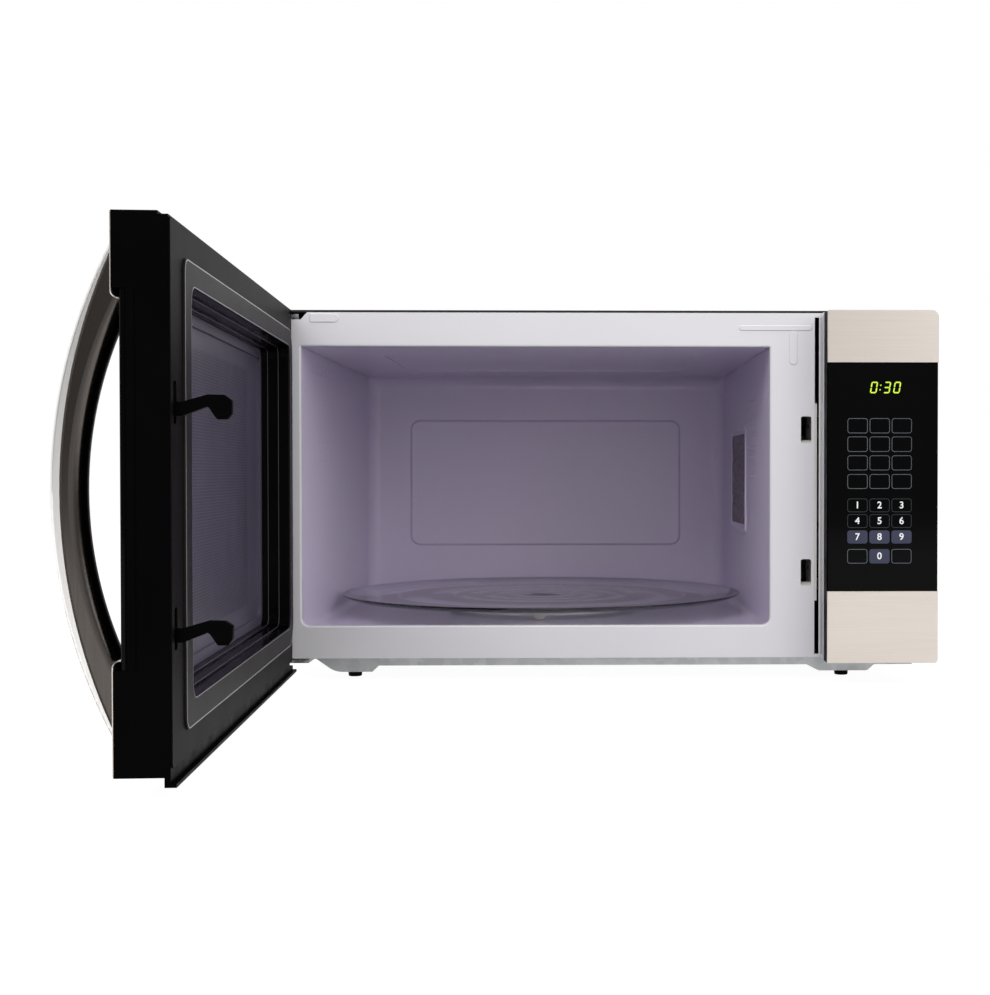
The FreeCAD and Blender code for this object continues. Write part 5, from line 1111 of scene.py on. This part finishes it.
@dataclass(frozen=True)
class Sides:
    """A rounded rectangle on the door: from and to along it, from and to in height, and its corner radii."""

    s0: float
    s1: float
    z0: float
    z1: float
    hinge_radius: float
    free_radius: float

    def inset(self, by: float) -> "Sides":
        """The same rectangle drawn in by a distance, or out where it is negative."""
        return Sides(self.s0 + by, self.s1 - by, self.z0 + by, self.z1 - by, self.hinge_radius - by,
                     self.free_radius - by)


@dataclass
class DoorWindow:
    """Beads on the moulded edges round the door's window and its inner cover, in millimetres; each is
    coloured paler than the part it sits on, as a painted highlight.

    They are modelled as if the door were shut: along it from the pin, out from it and up.
    """

    wardrobe: Wardrobe
    pin: Pair = (-292.4, -244.5)
    swing: Pair = (0.0523, 0.9986)
    window: Sides = Sides(18.0, 442.0, 54.0, 304.5, 10.0, 10.0)
    cover: Sides = Sides(3.6, 460.4, 37.6, 319.4, 22.0, 9.0)
    cover_face: float = 15.5
    steps: tuple[Pair, ...] = ((1.9, 5.1), (3.8, -3.9))
    bead: float = 0.9
    rise: float = 0.45
    root: float = 0.05
    sunk_share: float = 0.6
    round_share: float = 0.45

    def ring(self, name: str, sides: Sides, face: float, finish: str, slot: str) -> None:
        """Model a rounded bead that runs round a rounded rectangle and stands on a face, and dress it.

        Args:
            name: The piece's name.
            sides: The bead's outer sides.
            face: How far out from the pin the bead's foot is.
            finish: Its finish.
            slot: The record's slot that the piece belongs with, passed on to the wardrobe.
        """
        low = (sides.s0, face - self.root, sides.z0)
        piece = Bench.block(name, low, (sides.s1, face + self.rise, sides.z1))
        middle = (sides.s0 + sides.s1) / 2 * MM
        for radius, hinge_side in ((sides.hinge_radius, True), (sides.free_radius, False)):
            Bench.round_corners(piece, radius, 8, lambda x, h=hinge_side: (x < middle) == h)
        Bench.make_ring(piece, 1, self.bead)
        Bench.soften(piece, self.rise * self.round_share)
        along, out = self.swing
        open_door = Matrix(((along, out, 0.0, self.pin[0] * MM),
                            (-out, along, 0.0, self.pin[1] * MM),
                            (0.0, 0.0, 1.0, 0.0),
                            (0.0, 0.0, 0.0, 1.0)))
        piece.data.transform(open_door)
        self.wardrobe.dress(Bench.smooth(piece), finish, Body.DOOR, slot)

    def build(self) -> None:
        """Make the window's step edges, its mouth and the cover's edge, each a bead coloured as a painted
        highlight.
        """
        for index, (inset, face) in enumerate(self.steps):
            name = f"window_step_{index + 1}"
            # The step and mouth beads take a lavender grey as painted highlights on the black moulding.
            self.ring(name, self.window.inset(inset - self.bead), face, "edge_gloss", "gloss_black")
        face = self.cover_face - self.rise * self.sunk_share
        self.ring("window_mouth", self.window.inset(-self.bead), face, "edge_gloss", "gloss_black")
        # The cover's edge bead takes a light grey as a painted highlight on the dark cover.
        self.ring("cover_edge", self.cover, face, "cover_edge", "dark_paint")


@dataclass
class Turntable:
    """The pressed glass tray, with its well, rolled rim and the rings under it, in millimetres."""

    wardrobe: Wardrobe
    middle: Pair = (-57.9, -8.9)
    underside: float = 58.0
    sides: int = 144
    ring_starts: tuple[float, ...] = (34.0, 62.0, 92.0, 150.0)
    ring_height: float = 0.9
    socket_radius: float = 20.0
    socket_wall: float = 3.4
    socket_height: float = 5.8
    socket_sink: float = 2.0
    socket_round: float = 0.6

    def outline(self) -> list[Pair]:
        """The tray's section, from the middle of its underside out, round the rim and back in.

        Returns:
            Pairs of radius and height above the underside.
        """
        rings: list[Pair] = []
        lift = self.ring_height
        for start in self.ring_starts:
            rings += [(start, lift), (start + 1.5, 0.0), (start + 4.5, 0.0), (start + 6.0, lift)]
        under = [(20.0, lift)] + rings + [(172.0, 0.6), (180.0, 1.2), (200.5, 3.2), (207.5, 5.6)]
        rim = [(209.3, 7.0), (209.3, 7.9), (208.4, 8.5), (206.9, 8.2)]
        top = [(200.0, 6.3), (178.0, 5.1), (150.0, 4.9), (90.0, 4.9), (30.0, 4.9), (15.0, 5.1), (11.0, 6.1)]
        return under + rim + top

    def dish(self) -> Piece:
        """Model the tray from a round sheet, drawn out along its section ring by ring.

        Returns:
            The tray.
        """
        Bench.clear()
        section = self.outline()
        start = section[0]
        place = metres(*self.middle, self.underside + start[1])
        bpy.ops.mesh.primitive_circle_add(vertices=self.sides, radius=start[0] * MM, fill_type="NGON",
                                          location=place)
        tray = Bench.settle("tray_dish")
        Bench.edit(tray)
        Bench.select(tray, Element.EDGE, lambda e: True)
        for (r0, z0), (r1, z1) in zip(section, section[1:]):
            bpy.ops.mesh.extrude_edges_move(TRANSFORM_OT_translate={"value": metres(0.0, 0.0, z1 - z0)})
            bpy.ops.transform.resize(value=(r1 / r0, r1 / r0, 1.0))
        bpy.ops.mesh.edge_face_add()
        bpy.ops.mesh.select_all(action="SELECT")
        bpy.ops.mesh.normals_make_consistent(inside=False)
        Bench.done()
        return Bench.smooth(tray, 50.0)

    def socket(self) -> Piece:
        """Model the socket ring under the tray's middle.

        Returns:
            The socket.
        """
        Bench.clear()
        place = metres(*self.middle, self.underside - self.socket_sink)
        bpy.ops.mesh.primitive_cylinder_add(vertices=48, radius=self.socket_radius * MM,
                                            depth=self.socket_height * MM, location=place)
        ring = Bench.settle("tray_socket")
        Bench.make_ring(ring, 2, self.socket_wall)
        Bench.soften(ring, self.socket_round)
        return Bench.smooth(ring)

    def build(self) -> None:
        """Make the tray and its socket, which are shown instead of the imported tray."""
        tray = Bench.join([self.dish(), self.socket()], "tray_dish")
        self.wardrobe.dress(tray, "tray_glass", Body.TRAY, "tray_glass", ["glass_tray"])


# ---- studio ----------------------------------------------------------------------------------------
@dataclass(frozen=True)
class Softbox:
    """A soft studio lamp: where it hangs, where it points, its size and its power in watts."""

    name: str
    place: Triple
    target: Triple
    width: float
    height: float
    power: float


@dataclass
class Studio:
    """The floor, the white surroundings, the lamps and the camera."""

    picture_height: float = 995.0
    focal_pixels: float = 1488.56
    sensor: float = 36.0
    camera_place: Triple = (-0.01966, -1.59386, 0.19090)
    yaw: float = 1.20099
    pitch: float = 0.91745
    roll: float = 0.0217
    shift_x: float = -0.1149
    floor_half: float = 4.0
    floor_glow: float = 1.12
    floor_seen: float = 0.85
    floor_mirrored: float = 0.3
    paper: str = "#f2f2f2"
    paper_lit: str = "#8c8c8c"
    behind: Pair = (0.2, 0.6)
    ambient: float = 1.2
    room: tuple[Pair, ...] = ((0.0, 1.0), (0.08, 0.9), (0.2, 0.04), (0.36, 0.03), (0.45, 0.62),
                                             (0.66, 0.62), (0.8, 0.06), (1.0, 0.02))
    lamps: tuple[Softbox, ...] = (
        Softbox("key_lamp", (-0.9, -2.6, 2.1), (0.0, -0.1, 0.2), 1.8, 1.4, 22.0),
        Softbox("fill_lamp", (1.5, -2.2, 1.2), (0.0, -0.1, 0.2), 1.4, 1.6, 12.0),
        Softbox("top_lamp", (0.0, 0.2, 2.4), (0.0, 0.0, 0.2), 2.2, 1.6, 8.0),
    )

    def camera(self) -> None:
        """Set the camera where the photograph was taken from."""
        data = bpy.data.cameras.new("camera")
        data.sensor_width = self.sensor
        data.lens = self.focal_pixels * self.sensor / self.picture_height
        data.shift_x = self.shift_x
        piece = bpy.data.objects.new("camera", data)
        piece.location = self.camera_place
        piece.rotation_euler = [math.radians(a) for a in (90.0 - self.pitch, self.roll, -self.yaw)]
        bpy.context.collection.objects.link(piece)
        bpy.context.scene.camera = piece

    def lamp(self, box: Softbox) -> None:
        """Hang one softbox.

        Args:
            box: The softbox.
        """
        data = bpy.data.lights.new(box.name, "AREA")
        data.shape = "RECTANGLE"
        data.size = box.width
        data.size_y = box.height
        data.energy = box.power
        piece = bpy.data.objects.new(box.name, data)
        piece.location = box.place
        aim = Vector(box.target) - Vector(box.place)
        piece.rotation_euler = aim.to_track_quat("-Z", "Y").to_euler()
        bpy.context.collection.objects.link(piece)

    def surroundings(self) -> None:
        """White behind the object, light and dark panels for its reflections, and a soft even light."""
        world = bpy.data.worlds.new("studio")
        bpy.context.scene.world = world
        world.use_nodes = True
        sheet = NodeSheet(world.node_tree)
        rays = sheet.nodes.new("ShaderNodeLightPath").outputs
        way = sheet.split(sheet.nodes.new("ShaderNodeTexCoord").outputs["Generated"]).outputs
        panels = sheet.nodes.new("ShaderNodeValToRGB")
        sheet.join(panels, Fac=sheet.spread(way["X"], 0.0, 1.0, -1.0))
        stops = panels.color_ramp.elements
        for place, light in self.room[1:-1]:
            stops.new(place)
        for stop, (place, light) in zip(stops, self.room):
            stop.position = place
            stop.color = (light, light, light, 1.0)
        behind = sheet.spread(way["Y"], 0.0, 1.0, *self.behind)
        mirrored = sheet.maths("MAXIMUM", panels.outputs["Color"], behind)
        seen = sheet.maths("MAXIMUM", rays["Is Camera Ray"], rays["Is Transmission Ray"])
        light = sheet.blend(rays["Is Glossy Ray"], self.ambient, mirrored, Mixed.FLOAT)
        level = sheet.blend(seen, light, 1.0, Mixed.FLOAT)
        backdrop = next(n for n in sheet.nodes if n.type == "BACKGROUND")
        sheet.join(backdrop, Color=(1.0, 1.0, 1.0, 1.0), Strength=level)

    def floor(self) -> None:
        """Lay the pale floor, white to the camera but for the object's own shadow."""
        Bench.clear()
        bpy.ops.mesh.primitive_plane_add(size=2 * self.floor_half, location=(0.0, 0.0, 0.0))
        piece = Bench.settle("studio_floor")
        sheet = ShaderSheet("floor_paper")
        light = sheet.nodes.new("ShaderNodeEmission")
        sheet.join(light, Strength=self.floor_glow)
        rays = sheet.nodes.new("ShaderNodeLightPath").outputs
        paper = sheet.blend(rays["Is Diffuse Ray"], ink(self.paper), ink(self.paper_lit))
        sheet.set(Base_Color=paper, Roughness=0.9, Specular_IOR_Level=0.0)
        seen = sheet.maths("MULTIPLY", rays["Is Camera Ray"], self.floor_seen)
        mirrored = sheet.maths("MULTIPLY", rays["Is Glossy Ray"], self.floor_mirrored)
        both = sheet.nodes.new("ShaderNodeMixShader")
        share = sheet.maths("MAXIMUM", seen, mirrored)
        for slot, source in zip(both.inputs, (share, sheet.shader.outputs[0], light.outputs[0])):
            sheet.plug(slot, source)
        out = next(n for n in sheet.nodes if n.type == "OUTPUT_MATERIAL")
        sheet.join(out, Surface=both.outputs[0])
        piece.data.materials.append(sheet.material)

    def build(self) -> None:
        """Set up the whole studio."""
        self.camera()
        self.surroundings()
        for box in self.lamps:
            self.lamp(box)
        self.floor()
        bpy.context.scene.view_settings.view_transform = "Standard"


def main() -> None:
    """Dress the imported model, add the new pieces and set up the studio."""
    logging.basicConfig(level=logging.INFO, format="%(name)s: %(message)s")
    wardrobe = Wardrobe()
    wardrobe.dress_model()
    ControlPanel(wardrobe).build()
    DoorWindow(wardrobe).build()
    Turntable(wardrobe).build()
    Studio().build()
    Bench.clear()


if __name__ == "__main__":
    main()
